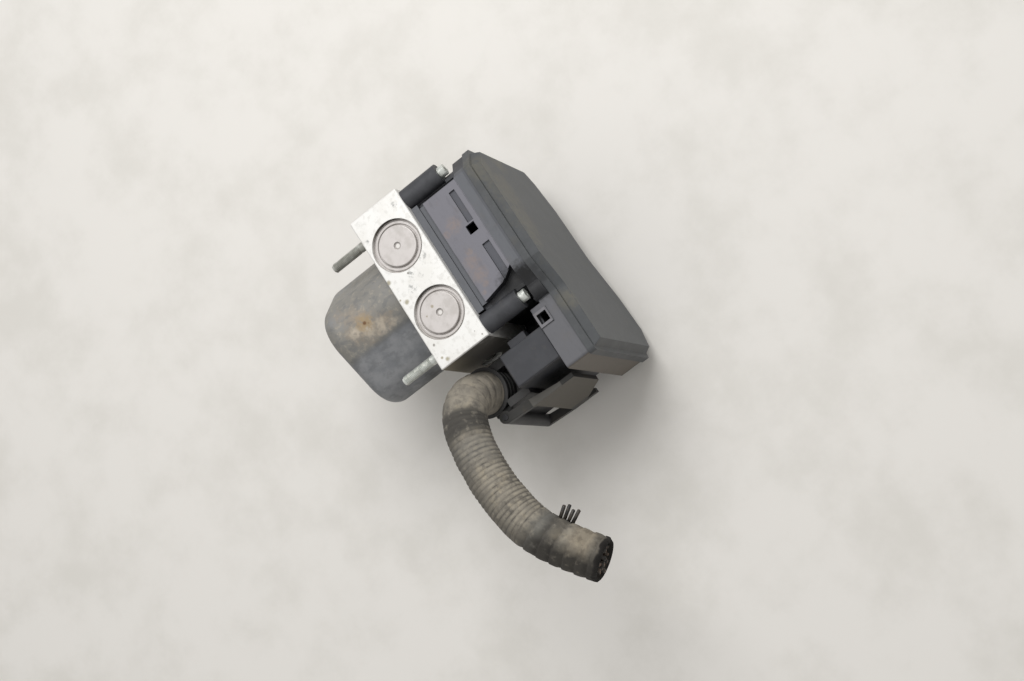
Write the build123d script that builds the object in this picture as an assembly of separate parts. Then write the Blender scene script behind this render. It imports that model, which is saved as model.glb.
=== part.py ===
from build123d import *
import math
import os

# Anti-lock brake module: valve block with two low-pressure accumulators, pump motor on one side,
# electronic control unit on the other, and the stub of the wiring harness in its plug.
# X runs along the block to the connector end, Y from the motor to the control unit, Z out of the cap face.
# The origin is midway between the two mounting studs, on the motor face of the block. Millimetres.

# ---- valve block ----
block_length = 108.0
block_depth = 36.0
block_height = 86.0
stud_drop = 12.0            # stud axis below the cap face
edge_break = 0.6

# ---- mounting studs ----
stud_spacing = 84.0
stud_radius = 3.0
stud_length = 28.0          # free length from the face
stud_point = 0.7
stud_embed = 12.0
stud_core_radius = 2.5      # core of the thread that is screwed into the block

# ---- accumulators ----
cap_spacing = 49.0
recess_radius = 16.4
recess_depth = 4.5
chamber_radius = 12.0
chamber_bottom = 36.0       # below the cap face
seat_gap = 0.05             # radial clearance of parts that sit in a hole
slide_gap = 0.05            # radial clearance of pistons
cap_flange = 1.6
lip_inner = 13.5
lip_outer = 14.9
lip_rise = 1.0
crown_radius = 12.4
crown_below_face = 0.5
crown_round = 0.5
dimple_radius = 2.3
dimple_depth = 0.9
piston_height = 10.0
piston_floor_gap = 0.1
seal_height = 2.4
seal_depth = 1.7
seal_gap = 0.03
spring_wire = 0.8
spring_radius = 7.5
spring_turns = 4.0

# ---- motor ----
motor_drop = 45.0           # motor axis below the cap face
can_width = 73.4
can_corner = 0.308 * can_width
can_turn = 30.0
can_length = 54.0
can_wall = 2.0
can_round = 10.0
ear_radius = 5.5
ear_thickness = 2.5
ear_outside = 0.8           # screw axis outside the can's half width
ear_inside = 9.7            # and above its lower side
ear_x = can_width / 2 + ear_outside
ear_z = can_width / 2 - ear_inside
motor_screw_radius = 2.5
motor_screw_depth = 10.0
motor_screw_head = 4.2
motor_screw_head_height = 3.0
motor_bore = 13.0
motor_bore_depth = 22.5
end_plate_thickness = 3.0
hub_length = 8.0
bearing_radius = 11.0
bearing_width = 7.0
shaft_radius = 4.0
running_gap = 0.04
magnet_thickness = 4.6
magnet_length = 24.0
air_gap = 0.8
core_length = 22.0
core_front = 19.0           # distance of the core from the block face
slot_count = 10
slot_width = 3.2
slot_depth = 9.0
winding_step = 4.8           # end winding below the core's outside
winding_overhang = 5.0
commutator_radius = 9.0
commutator_length = 8.0
brush_width = 5.0
brush_length = 9.0
brush_gap = 0.2
holder_thickness = 1.8
cage_wall = 1.2
rear_bush_radius = 7.0
rear_bush_width = 3.8
eccentric_radius = 6.0
eccentric_offset = 1.2
eccentric_ring = 9.0
eccentric_length = 10.0

# ---- pump elements ----
pump_y = 16.0
pump_bore = 5.2
pump_plug_bore = 7.0
pump_plug_length = 10.0
pump_plug_recess = 1.5
pump_piston_radius = 3.0
pump_piston_length = 23.0
pump_tip_gap = 0.3
pump_stroke = 2.4
pump_cylinder_start = 14.0
pump_spring_wire = 0.45
pump_spring_turns = 5.0

# ---- valves and coils ----
valve_margin = 13.0
valve_pitch_x = (block_length - valve_margin) / 5
valve_row_upper = 47.0      # below the cap face
valve_row_lower = 66.0
valve_radius = 5.0
valve_depth = 11.0
dome_radius = 3.4
dome_length = 19.0
coil_spacing_gap = 2.0
coil_radius = (valve_pitch_x - coil_spacing_gap) / 2
coil_length = 22.0
coil_lift = 0.5
coil_room = 1.5
terminal_size = 0.8
terminal_spread = 5.5

# ---- brake line ports on the face opposite the caps ----
wheel_port_radius = 5.0
wheel_port_pitch = 24.0
wheel_port_y = 26.0
master_port_radius = 6.0
master_port_spacing = 50.0
master_port_y = 10.0
port_depth = 12.0

# ---- control unit housing ----
seam_y = 77.4               # joint between housing and lid
wall = 2.5
body_half = 1.5 * valve_pitch_x + coil_radius + coil_room + wall
body_top = 9.0              # below the cap face
body_bottom = 90.0
tray_start = seam_y - 8.4
connector_start = seam_y - 15.8
connector_edge = block_length / 2
rim_inset = 1.0
board_ledge = seam_y - 5.9
panel_top = 2.8             # below the cap face
panel_half = body_half - 5.0
panel_start = 44.5
panel_slant = 3.0
strip_outer_top = 4.8
strip_inner_top = 6.0
strip_split = 40.5
strip_half = body_half - 2.5
boss_x = body_half + 5.0
boss_radius = 6.5
boss_end = tray_start - 6.4
boss_top_drop = 7.0         # upper screw axes below the cap face
boss_low_drop = 79.0
screw_radius = 2.5
screw_hole_gap = 0.3
screw_depth = 12.0
screw_head = 3.6
screw_head_height = 4.2
socket_radius = 1.6
socket_depth = 2.2
pocket_depth = 1.2          # shallow pockets in the raised panel
pocket_width = 4.0
pocket_back = 7.4           # from the tray to the pockets
square_size = 6.0           # open latch square in the panel
square_back = 10.0
square_from = 8.0
window_size = 6.4           # open latch window over the connector
window_frame = 1.8
window_in = 8.3
window_back = 2.7
seal_width = 1.3
seal_thickness = 1.0

# ---- lid outline, in X and Z ----
lid_left = -body_half - 10.0
lid_right = connector_edge + 42.5
lid_top = 2.0               # below the cap face
lid_step = 9.0              # drop of the edge over the connector
step_to = connector_edge - 1.0
step_from = step_to - 22.0
screw_corner_x = 14.0       # corner cut clear of the upper rear screw
screw_corner_z = 16.0
lid_low_left = -68.0
lid_low_mid = -82.0
lid_low_right = -98.0
lid_corner = 3.0
lid_rim = 4.6
lid_raise = 5.0
raise_inset = 2.6
raise_taper = 28.0
lid_skin = 2.4

# ---- connector, plug and lever ----
shroud_x = connector_edge + 21.5
shroud_width = 17.0
shroud_top = 20.0           # below the cap face
shroud_bottom = 98.0
shroud_length = 16.6
shroud_wall = 1.6
pin_size = 1.0
pin_rows = 3
pin_row_pitch = 4.0
pin_count = 12
pin_pitch = 5.6
pin_reach = 11.0
plug_width = 22.0
plug_length = 31.8
plug_top = 14.0             # below the cap face
plug_bottom = 104.0
plug_gap = 0.3
core_gap = 0.4
shell_length = 27.5
shell_top = 43.0
shell_bottom = 95.5
shell_wall = 2.0
outlet_x = connector_edge + 18.3
outlet_y = 6.9              # outlet axis at the top of the cover
outlet_tilt = 10.0          # lean of the outlet towards the motor
outlet_length = 11.6
collar_radius = 14.6
collar_neck_radius = 13.2
collar_rib = 0.9
boot_height = 30.0          # cone under the outlet
boot_radius = 5.0
wing = 4.2
wing_top = 31.5
lever_x = connector_edge + 38.0
lever_y = 8.0
rail_top = 34.3
rail_edge = lever_x - 3.0
guide_width = 5.0
lever_arm = 4.0
lever_gap = 0.3
lever_heel = 4.0
lever_arm_end = 46.0
lever_tip_y = 57.0
lever_plate_from = 27.0
lever_plate_thickness = 3.0
lever_plate_inner = lever_x + 2.0
lever_plate_cut = 26.0
lever_pin_radius = 1.8
lever_pin_gap = 0.05

# ---- harness ----
harness_diameter = 27.4
wire_radius = 1.2
wire_stub = 4.0

# ---- derived levels ----
cap_face = stud_drop
port_face = cap_face - block_height
motor_z = cap_face - motor_drop
recess_floor = cap_face - recess_depth
chamber_floor = cap_face - chamber_bottom
mid_y = block_depth / 2
upper_screw_z = cap_face - boss_top_drop
lower_screw_z = cap_face - boss_low_drop
valve_rows = (cap_face - valve_row_upper, cap_face - valve_row_lower)
valve_xs = [(i - 1.5) * valve_pitch_x for i in range(4)]
sides = {"rear": -1, "front": 1}


# ---- helpers ----
def box(x0, x1, y0, y1, z0, z1):
    return Pos((x0 + x1) / 2, (y0 + y1) / 2, (z0 + z1) / 2) * Box(x1 - x0, y1 - y0, z1 - z0)


def rod_x(y, z, x0, x1, r):
    return Pos((x0 + x1) / 2, y, z) * Rot(0, 90, 0) * Cylinder(r, abs(x1 - x0))


def rod_y(x, z, y0, y1, r):
    return Pos(x, (y0 + y1) / 2, z) * Rot(90, 0, 0) * Cylinder(r, abs(y1 - y0))


def rod_z(x, y, z0, z1, r):
    return Pos(x, y, (z0 + z1) / 2) * Cylinder(r, abs(z1 - z0))


def wall_plane(y):
    return Plane(origin=(0, y, 0), x_dir=(1, 0, 0), z_dir=(0, 1, 0))


def outline(points):
    return Polygon(*[(x, -z) for x, z in points], align=None)


def slab(sketch, y0, y1, taper=0.0):
    return extrude(wall_plane(y0) * sketch, amount=y1 - y0, taper=taper)


def coil_spring(radius, wire, length, turns):
    path = Helix(pitch=(length - 2 * wire) / turns, height=length - 2 * wire, radius=radius)
    start = Plane(origin=path @ 0, z_dir=path % 0)
    return Pos(0, 0, wire) * sweep(start * Circle(wire), path=path)


os.makedirs("parts", exist_ok=True)
made = {}


def keep(name, shape):
    made[name] = shape
    export_step(shape, "parts/" + name + ".step")


# ---- valve block ----
block = box(-block_length / 2, block_length / 2, 0, block_depth, port_face, cap_face)
block = chamfer(block.edges(), edge_break)
for side in sides.values():
    cap_x = side * cap_spacing / 2
    block -= rod_z(cap_x, mid_y, recess_floor, cap_face + 1, recess_radius)
    block -= rod_z(cap_x, mid_y, chamber_floor, cap_face, chamber_radius)
    block -= rod_x(pump_y, motor_z, 0, side * block_length / 2, pump_bore)
    plug_seat = side * (block_length / 2 - pump_plug_recess - pump_plug_length)
    block -= rod_x(pump_y, motor_z, plug_seat, side * (block_length / 2 + 1), pump_plug_bore)
    block -= rod_y(side * stud_spacing / 2, 0, -1, stud_embed, stud_core_radius)
    block -= rod_y(side * ear_x, motor_z - ear_z, -1, motor_screw_depth, motor_screw_radius)
    block -= rod_y(side * boss_x, upper_screw_z, block_depth - screw_depth, block_depth + 1, screw_radius)
    block -= rod_y(side * boss_x, lower_screw_z, -1, block_depth + 1, screw_radius + screw_hole_gap)
    master_x = side * master_port_spacing / 2
    block -= rod_z(master_x, master_port_y, port_face - 1, port_face + port_depth, master_port_radius)
block -= rod_y(0, motor_z, -1, motor_bore_depth, motor_bore)
for i in range(4):
    port_x = (i - 1.5) * wheel_port_pitch
    block -= rod_z(port_x, wheel_port_y, port_face - 1, port_face + port_depth, wheel_port_radius)
for valve_x in valve_xs:
    for valve_z in valve_rows:
        block -= rod_y(valve_x, valve_z, block_depth - valve_depth, block_depth + 1, valve_radius)
keep("valve_block", block)

# ---- mounting studs ----
studs = []
for side in sides.values():
    stud = rod_y(side * stud_spacing / 2, 0, -stud_length, 0, stud_radius)
    stud = chamfer(stud.edges().group_by(Axis.Y)[0], stud_point)
    studs.append(stud + rod_y(side * stud_spacing / 2, 0, 0, stud_embed, stud_core_radius))
keep("mounting_studs", Compound(children=[s.solid() for s in studs]))

# ---- accumulators ----
spring_length = recess_floor - (chamber_floor + piston_floor_gap + piston_height)
for name, side in sides.items():
    cap_x = side * cap_spacing / 2
    cap = rod_z(cap_x, mid_y, recess_floor, recess_floor + cap_flange, recess_radius - seat_gap)
    lip_top = recess_floor + cap_flange + lip_rise
    cap += rod_z(cap_x, mid_y, recess_floor, lip_top, lip_outer)
    cap -= rod_z(cap_x, mid_y, recess_floor + cap_flange, lip_top + 1, lip_inner)
    crown = rod_z(cap_x, mid_y, recess_floor, cap_face - crown_below_face, crown_radius)
    crown = fillet(crown.edges().group_by(Axis.Z)[-1], crown_round)
    cap += crown
    crown_top = cap_face - crown_below_face
    cap -= rod_z(cap_x, mid_y, crown_top - dimple_depth, crown_top + 1, dimple_radius)
    keep("accumulator_cap_" + name, cap)

    piston_low = chamber_floor + piston_floor_gap
    piston_radius = chamber_radius - slide_gap
    piston = rod_z(cap_x, mid_y, piston_low, piston_low + piston_height, piston_radius)
    groove_low = piston_low + (piston_height - seal_height) / 2
    groove = rod_z(cap_x, mid_y, groove_low, groove_low + seal_height, chamber_radius + 1)
    groove -= rod_z(cap_x, mid_y, groove_low, groove_low + seal_height, chamber_radius - seal_depth)
    piston -= groove
    keep("accumulator_piston_" + name, piston)
    seal = rod_z(cap_x, mid_y, groove_low, groove_low + seal_height, chamber_radius - seal_gap)
    seal -= rod_z(cap_x, mid_y, groove_low - 1, groove_low + seal_height + 1, chamber_radius - seal_depth)
    keep("accumulator_seal_" + name, seal)
    spring = coil_spring(spring_radius, spring_wire, spring_length, spring_turns)
    keep("accumulator_spring_" + name, Pos(cap_x, mid_y, piston_low + piston_height) * spring)

# ---- motor ----


def can_section(inset):
    width = can_width - 2 * inset
    section = Rot(0, 0, can_turn) * RectangleRounded(width, width, can_corner - inset)
    return Pos(0, -motor_z) * section


can = slab(can_section(0), -can_length, 0)
can = fillet(can.edges().group_by(Axis.Y)[0], can_round)
hollow = slab(can_section(can_wall), -can_length + can_wall, 1)
hollow = fillet(hollow.edges().group_by(Axis.Y)[0], can_round - can_wall)
for side in sides.values():
    ear = rod_y(side * ear_x, motor_z - ear_z, -ear_thickness, 0, ear_radius)
    bridge = box(min(0, side * ear_x), max(0, side * ear_x), -ear_thickness, 0,
                 motor_z - ear_z - ear_radius / 2, motor_z - ear_z + ear_radius)
    can += ear + bridge
can -= hollow
for side in sides.values():
    can -= rod_y(side * ear_x, motor_z - ear_z, -ear_thickness - 1, 1, motor_screw_radius + screw_hole_gap)
bush_start = -can_length + can_wall
bush_end = bush_start + rear_bush_width
keep("motor_can", can)

plate_radius = can_width / 2 - can_wall - seat_gap
plate = rod_y(0, motor_z, -end_plate_thickness, 0, plate_radius)
plate += rod_y(0, motor_z, 0, hub_length, motor_bore - seat_gap)
plate -= rod_y(0, motor_z, hub_length - bearing_width - 0.5, hub_length + 1, bearing_radius)
plate -= rod_y(0, motor_z, -end_plate_thickness - 1, hub_length, shaft_radius + 1.5)
keep("motor_end_plate", plate)

bearing = rod_y(0, motor_z, hub_length - bearing_width - 0.5, hub_length - 0.5, bearing_radius)
bearing -= rod_y(0, motor_z, 0, hub_length, shaft_radius + running_gap)
keep("motor_front_bearing", bearing)
bush = rod_y(0, motor_z, bush_start, bush_end, rear_bush_radius)
bush -= rod_y(0, motor_z, bush_start - 1, bush_end + 1, shaft_radius + running_gap)
keep("motor_rear_bush", bush)

magnet_mid = -(core_front + core_length / 2)
magnet_from = magnet_mid - magnet_length / 2
magnet_to = magnet_mid + magnet_length / 2
magnet_outer = can_width / 2 - can_wall
magnet_inner = magnet_outer - magnet_thickness
magnets = []
for i in range(4):
    ring = rod_y(0, motor_z, magnet_from, magnet_to, magnet_outer)
    ring -= rod_y(0, motor_z, magnet_from - 1, magnet_to + 1, magnet_inner)
    sector = Rot(0, can_turn + 90 * i, 0) * box(0, can_width, magnet_from, magnet_to, -13, 13)
    magnets.append((ring & (Pos(0, 0, motor_z) * sector)).solid())
keep("motor_magnets", Compound(children=magnets))

core_radius = magnet_inner - air_gap
winding_radius = core_radius - winding_step
core_from = -core_front - core_length
core_to = -core_front
core = rod_y(0, motor_z, core_from, core_to, core_radius)
core -= rod_y(0, motor_z, core_from - 1, core_to + 1, shaft_radius)
slot_floor = core_radius - slot_depth
slot = box(slot_floor, core_radius + 1, core_from - 1, core_to + 1, -slot_width / 2, slot_width / 2)
fill = box(slot_floor, core_radius - 1.2, core_from, core_to, -slot_width / 2, slot_width / 2)
winding = rod_y(0, motor_z, core_from - winding_overhang, core_from, winding_radius)
winding += rod_y(0, motor_z, core_to, core_to + winding_overhang, winding_radius)
for i in range(slot_count):
    turn = Pos(0, 0, motor_z) * Rot(0, 360 / slot_count * i, 0)
    core -= turn * slot
    winding += turn * fill
winding -= rod_y(0, motor_z, core_from - winding_overhang - 1, core_to + winding_overhang + 1, shaft_radius)
keep("armature_core", core)
keep("armature_winding", winding)
commutator_from = core_to + winding_overhang
commutator_to = commutator_from + commutator_length
commutator = rod_y(0, motor_z, commutator_from, commutator_to, commutator_radius)
commutator -= rod_y(0, motor_z, commutator_from - 1, commutator_to + 1, shaft_radius)
keep("commutator", commutator)

ring_y0 = pump_y - eccentric_length / 2
ring_y1 = pump_y + eccentric_length / 2
shaft = rod_y(0, motor_z, bush_start + 0.4, ring_y1 + 0.6, shaft_radius)
shaft += rod_y(0, motor_z + eccentric_offset, ring_y0, ring_y1, eccentric_radius)
keep("motor_shaft", shaft)
ring = rod_y(0, motor_z + eccentric_offset, ring_y0, ring_y1, eccentric_ring)
ring -= rod_y(0, motor_z + eccentric_offset, ring_y0 - 1, ring_y1 + 1, eccentric_radius)
keep("eccentric_ring", ring)

holder_y1 = -end_plate_thickness
holder_y0 = holder_y1 - holder_thickness
holder = rod_y(0, motor_z, holder_y0, holder_y1, plate_radius - 1)
holder -= rod_y(0, motor_z, holder_y0 - 1, holder_y1 + 1, commutator_radius + 2)
brush_y1 = holder_y0
brush_y0 = brush_y1 - brush_width
brushes = []
for side in sides.values():
    brush_in = commutator_radius + brush_gap
    brush_out = brush_in + brush_length
    x0 = min(side * brush_in, side * brush_out)
    x1 = max(side * brush_in, side * brush_out)
    brushes.append(box(x0, x1, brush_y0, brush_y1, motor_z - brush_width / 2, motor_z + brush_width / 2))
    b0 = min(side * (brush_in + 2), side * (brush_out + 1.5))
    b1 = max(side * (brush_in + 2), side * (brush_out + 1.5))
    cage_half = brush_width / 2 + cage_wall
    cage = box(b0, b1, brush_y0 - cage_wall, brush_y1, motor_z - cage_half, motor_z + cage_half)
    holder += cage - brushes[-1]
keep("brush_holder", holder)
keep("motor_brushes", Compound(children=[b.solid() for b in brushes]))

motor_screws = []
for side in sides.values():
    head_y = -ear_thickness - motor_screw_head_height
    screw = rod_y(side * ear_x, motor_z - ear_z, -ear_thickness, motor_screw_depth, motor_screw_radius)
    screw += rod_y(side * ear_x, motor_z - ear_z, head_y, -ear_thickness, motor_screw_head)
    motor_screws.append(screw.solid())
keep("motor_screws", Compound(children=motor_screws))

# ---- pump elements ----
tip = eccentric_ring + eccentric_offset + pump_tip_gap
piston_back = tip + pump_piston_length
plug_seat = block_length / 2 - pump_plug_recess - pump_plug_length
for name, side in sides.items():
    cylinder = rod_x(pump_y, motor_z, side * pump_cylinder_start, side * plug_seat, pump_bore - seat_gap)
    cylinder -= rod_x(pump_y, motor_z, side * (pump_cylinder_start - 1), side * (plug_seat + 1),
                      pump_piston_radius + running_gap)
    keep("pump_cylinder_" + name, cylinder)
    keep("pump_piston_" + name, rod_x(pump_y, motor_z, side * tip, side * piston_back, pump_piston_radius))
    coil = coil_spring(pump_piston_radius - pump_spring_wire - 0.1, pump_spring_wire,
                       plug_seat - piston_back, pump_spring_turns)
    keep("pump_spring_" + name, Pos(side * piston_back, pump_y, motor_z) * Rot(0, 90 * side, 0) * coil)
    plug = rod_x(pump_y, motor_z, side * plug_seat, side * (plug_seat + pump_plug_length),
                 pump_plug_bore - seat_gap)
    plug -= rod_x(pump_y, motor_z, side * (plug_seat + pump_plug_length - 3),
                  side * (plug_seat + pump_plug_length + 1), pump_plug_bore / 2)
    keep("pump_plug_" + name, plug)

# ---- valves, coils ----
valve_groups = {"inlet_valves": valve_rows[0], "outlet_valves": valve_rows[1]}
coils = []
for name, valve_z in valve_groups.items():
    valves = []
    for valve_x in valve_xs:
        valve = rod_y(valve_x, valve_z, block_depth - valve_depth, block_depth, valve_radius - seat_gap)
        dome = rod_y(valve_x, valve_z, block_depth, block_depth + dome_length, dome_radius)
        valve += fillet(dome.edges().group_by(Axis.Y)[-1], dome_radius * 0.8)
        valves.append(valve.solid())
        coil_y0 = block_depth + coil_lift
        coil_y1 = coil_y0 + coil_length
        coil = rod_y(valve_x, valve_z, coil_y0, coil_y1, coil_radius)
        coil -= rod_y(valve_x, valve_z, coil_y0 - 1, coil_y1 + 1, dome_radius + seat_gap)
        half = terminal_size / 2
        for offset_x in (-terminal_spread, terminal_spread):
            pin_x = valve_x + offset_x
            coil += box(pin_x - half, pin_x + half, coil_y1 - 1, board_ledge, valve_z - half, valve_z + half)
        coils.append(coil.solid())
    keep(name, Compound(children=valves))
keep("solenoid_coils", Compound(children=coils))

# ---- control unit outline ----
top_high = cap_face - lid_top
top_low = top_high - lid_step
lid_points = [
    (lid_left + screw_corner_x, top_high),
    (step_from, top_high),
    (step_to, top_low),
    (lid_right, top_low),
    (lid_right, lid_low_right),
    (lid_right - 18, lid_low_right - 10),
    (step_to, lid_low_right - 7),
    (step_from - 8, lid_low_mid - 12),
    (-14, lid_low_mid - 10),
    (lid_left + 15, lid_low_mid - 3),
    (lid_left + 4, lid_low_left - 9),
    (lid_left, top_high - screw_corner_z),
]
lid_face = outline(lid_points)
lid_face = fillet(lid_face.vertices(), lid_corner)
tray_face = offset(lid_face, -rim_inset)
tray_hollow_face = offset(lid_face, -rim_inset - wall)

# ---- housing ----
deck = cap_face - body_top
body_low = cap_face - body_bottom
housing = slab(tray_face, tray_start, seam_y)
connector_part = slab(tray_face, connector_start, tray_start)
connector_part &= box(connector_edge, lid_right + 1, connector_start, tray_start, -200, 50)
housing += connector_part
housing += box(-body_half, body_half, block_depth, tray_start, body_low, deck)
panel_z = cap_face - panel_top
panel_plan = Polygon((-panel_half, panel_start), (panel_half, panel_start),
                     (panel_half - panel_slant, boss_end - 3), (panel_half - 3 * panel_slant, tray_start),
                     (-panel_half, tray_start), align=None)
housing += extrude(Pos(0, 0, deck) * panel_plan, amount=panel_z - deck)
strip_outer_z = cap_face - strip_outer_top
strip_inner_z = cap_face - strip_inner_top
housing += box(-strip_half, strip_half, block_depth, strip_split, deck, strip_outer_z)
housing += box(-panel_half, panel_half, strip_split, panel_start, deck, strip_inner_z)
for side in sides.values():
    for screw_z in (upper_screw_z, lower_screw_z):
        housing += rod_y(side * boss_x, screw_z, block_depth, boss_end, boss_radius)
        web_low = screw_z - boss_radius * 0.6
        web_high = screw_z - 1.0
        x0 = min(side * boss_x, side * (body_half - 2))
        x1 = max(side * boss_x, side * (body_half - 2))
        housing += box(x0, x1, block_depth, tray_start, web_low, web_high)
# half round behind the screw at the step
housing += rod_y(boss_x, upper_screw_z - boss_radius, tray_start - 1, seam_y, boss_radius)
# hollow
housing -= box(-body_half + wall, body_half - wall, block_depth - 1, board_ledge, body_low + wall, deck - wall)
housing -= box(-panel_half + wall, 25.0, block_depth + wall + 6, board_ledge, deck - wall - 1, panel_z - wall)
housing -= slab(tray_hollow_face, board_ledge, seam_y + 1)
connector_hollow = slab(tray_hollow_face, connector_start + wall, board_ledge)
connector_hollow &= box(connector_edge + wall, lid_right, connector_start, board_ledge + 1, -200, 50)
housing -= connector_hollow
# screw holes
for side in sides.values():
    for screw_z in (upper_screw_z, lower_screw_z):
        if screw_z == upper_screw_z:
            hole_radius = screw_radius + screw_hole_gap
            housing -= rod_y(side * boss_x, screw_z, block_depth - 1, boss_end + 1, hole_radius)
            housing -= rod_y(side * boss_x, screw_z, boss_end, tray_start, screw_head + 1.2)
        else:
            housing -= rod_y(side * boss_x, screw_z, block_depth - 1, block_depth + screw_depth, screw_radius)
# panel pockets and latch window
pocket_floor = panel_z - pocket_depth
pocket_y = tray_start - pocket_back
housing -= box(-31.0, -9.0, pocket_y, pocket_y + pocket_width, pocket_floor, panel_z + 1)
housing -= box(7.0, 33.0, pocket_y, pocket_y + pocket_width + 1, pocket_floor, panel_z + 1)
square_y = tray_start - square_back
housing -= box(-square_from, -square_from + square_size, square_y, square_y + square_size,
               panel_z - wall - 2, panel_z + 1)
window_x = connector_edge + window_in
window_y = tray_start - window_back
window_z = top_low - rim_inset
frame_half = window_size / 2 + window_frame
housing += box(window_x - frame_half, window_x + frame_half, connector_start, window_y + window_size / 2 + 1.3,
               window_z - 3, window_z + 0.8)
housing -= box(window_x - window_size / 2, window_x + window_size / 2, window_y - window_size / 2,
               window_y + window_size / 2, window_z - wall - 1, window_z + 2)
# connector shroud
shroud_z1 = cap_face - shroud_top
shroud_z0 = cap_face - shroud_bottom
shroud_y0 = connector_start - shroud_length
shroud = box(shroud_x - shroud_width / 2, shroud_x + shroud_width / 2, shroud_y0, connector_start,
             shroud_z0, shroud_z1)
shroud -= box(shroud_x - shroud_width / 2 + shroud_wall, shroud_x + shroud_width / 2 - shroud_wall,
              shroud_y0 - 1, connector_start, shroud_z0 + shroud_wall, shroud_z1 - shroud_wall)
housing += shroud

# ---- connector pins ----
shroud_mid = (shroud_z0 + shroud_z1) / 2
pin_y0 = connector_start - pin_reach
pins = []
pin_slots = []
for row in range(pin_rows):
    for place in range(pin_count):
        px = shroud_x + (row - (pin_rows - 1) / 2) * pin_row_pitch
        pz = shroud_mid + (place - (pin_count - 1) / 2) * pin_pitch
        half = pin_size / 2
        pin = box(px - half, px + half, pin_y0, board_ledge, pz - half, pz + half)
        housing -= pin
        pins.append(pin.solid())
        slot_half = half + 0.3
        pin_slots.append(box(px - slot_half, px + slot_half, pin_y0 - 1, connector_start,
                             pz - slot_half, pz + slot_half))
keep("connector_pins", Compound(children=pins))

# seal between housing and block
seal_out_x = body_half - (wall - seal_width) / 2
seal_top = deck - (wall - seal_width) / 2
seal_low = body_low + (wall - seal_width) / 2
seal = box(-seal_out_x, seal_out_x, block_depth, block_depth + seal_thickness, seal_low, seal_top)
seal_in_x = seal_out_x - seal_width
seal -= box(-seal_in_x, seal_in_x, block_depth - 1, block_depth + seal_thickness + 1,
            seal_low + seal_width, seal_top - seal_width)
housing -= seal
keep("ecu_seal", seal)
keep("ecu_housing", housing)

# ---- circuit board ----
board_face = offset(lid_face, -rim_inset - wall - 0.3)
board = slab(board_face, board_ledge, board_ledge + 1.6)
keep("circuit_board", board)
chips = [
    box(-20, 4, board_ledge + 1.6, board_ledge + 3.2, -30, -6),
    box(14, 30, board_ledge + 1.6, board_ledge + 4.4, -66, -46),
    box(46, 58, board_ledge + 1.6, board_ledge + 4.0, -40, -28),
]
keep("board_components", Compound(children=[c.solid() for c in chips]))

# ---- lid ----
lid = slab(lid_face, seam_y, seam_y + lid_rim)
raised_face = offset(lid_face, -raise_inset)
lid += slab(raised_face, seam_y + lid_rim, seam_y + lid_rim + lid_raise, raise_taper)
lid_hollow = offset(lid_face, -rim_inset - wall - lid_raise)
lid -= slab(lid_hollow, seam_y - 1, seam_y + lid_rim + lid_raise - lid_skin)
keep("ecu_lid", lid)

# ---- control unit screws ----
ecu_screws = []
long_screws = []
for side in sides.values():
    head_end = boss_end + screw_head_height
    screw = rod_y(side * boss_x, upper_screw_z, block_depth - screw_depth, boss_end, screw_radius)
    screw += rod_y(side * boss_x, upper_screw_z, boss_end, head_end, screw_head)
    screw -= rod_y(side * boss_x, upper_screw_z, head_end - socket_depth, head_end + 1, socket_radius)
    ecu_screws.append(screw.solid())
    screw = rod_y(side * boss_x, lower_screw_z, 0, block_depth + screw_depth, screw_radius)
    screw += rod_y(side * boss_x, lower_screw_z, -screw_head_height, 0, screw_head)
    screw -= rod_y(side * boss_x, lower_screw_z, -screw_head_height - 1, socket_depth - screw_head_height,
                   socket_radius)
    long_screws.append(screw.solid())
keep("ecu_upper_screws", Compound(children=ecu_screws))
keep("ecu_lower_screws", Compound(children=long_screws))

# ---- plug ----
plug_z1 = cap_face - plug_top
plug_z0 = cap_face - plug_bottom
plug_y1 = connector_start - plug_gap
plug_y0 = plug_y1 - plug_length
plug_x0 = shroud_x - plug_width / 2
plug_x1 = shroud_x + plug_width / 2
plug_body = box(plug_x0, plug_x1, plug_y0, plug_y1, plug_z0, plug_z1)
plug_body = chamfer(plug_body.edges().group_by(Axis.Z)[-1], 0.8)
socket_gap = plug_gap
plug_body -= box(shroud_x - shroud_width / 2 - socket_gap, shroud_x + shroud_width / 2 + socket_gap,
                 shroud_y0 - socket_gap, plug_y1 + 1, shroud_z0 - socket_gap, shroud_z1 + socket_gap)
core_half = shroud_width / 2 - shroud_wall - core_gap
plug_core = box(shroud_x - core_half, shroud_x + core_half, shroud_y0 - socket_gap - 1, plug_y1 - 4,
                shroud_z0 + shroud_wall + core_gap, shroud_z1 - shroud_wall - core_gap)
for pin_slot in pin_slots:
    plug_core -= pin_slot
plug_body += plug_core
plug_body += box(plug_x0 - 4.5, plug_x0, 38.0, 50.0, plug_z1 - 10, plug_z1 - 2)
keep("plug_body", plug_body)

# ---- plug rear cover with the cable collar and the lever's rail ----
shell_y0 = plug_y0 - shell_length
shell_z1 = cap_face - shell_top
shell_z0 = cap_face - shell_bottom
rail_z1 = cap_face - rail_top
guide_y0 = lever_y + lever_heel + 2.0
cover = box(plug_x0 + 1, rail_edge, shell_y0, plug_y0, shell_z0, shell_z1)
cover += box(plug_x1, rail_edge, shell_y0, plug_y0, shell_z1, rail_z1)
cover += box(rail_edge - guide_width, rail_edge, guide_y0, plug_y0, shell_z1, rail_z1 + lever_gap + lever_arm)
cover += rod_z(lever_x, lever_y, shell_z0, rail_z1, lever_heel)
cover += box(plug_x0 - wing, plug_x0 + 1, outlet_y + 8, plug_y0 - 1, shell_z1 - 3, cap_face - wing_top)
outlet = Pos(outlet_x, outlet_y, shell_z1) * Rot(outlet_tilt, 0, 0)
cover += outlet * Pos(0, 0, -boot_height / 2) * Cone(boot_radius, collar_radius, boot_height)
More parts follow.
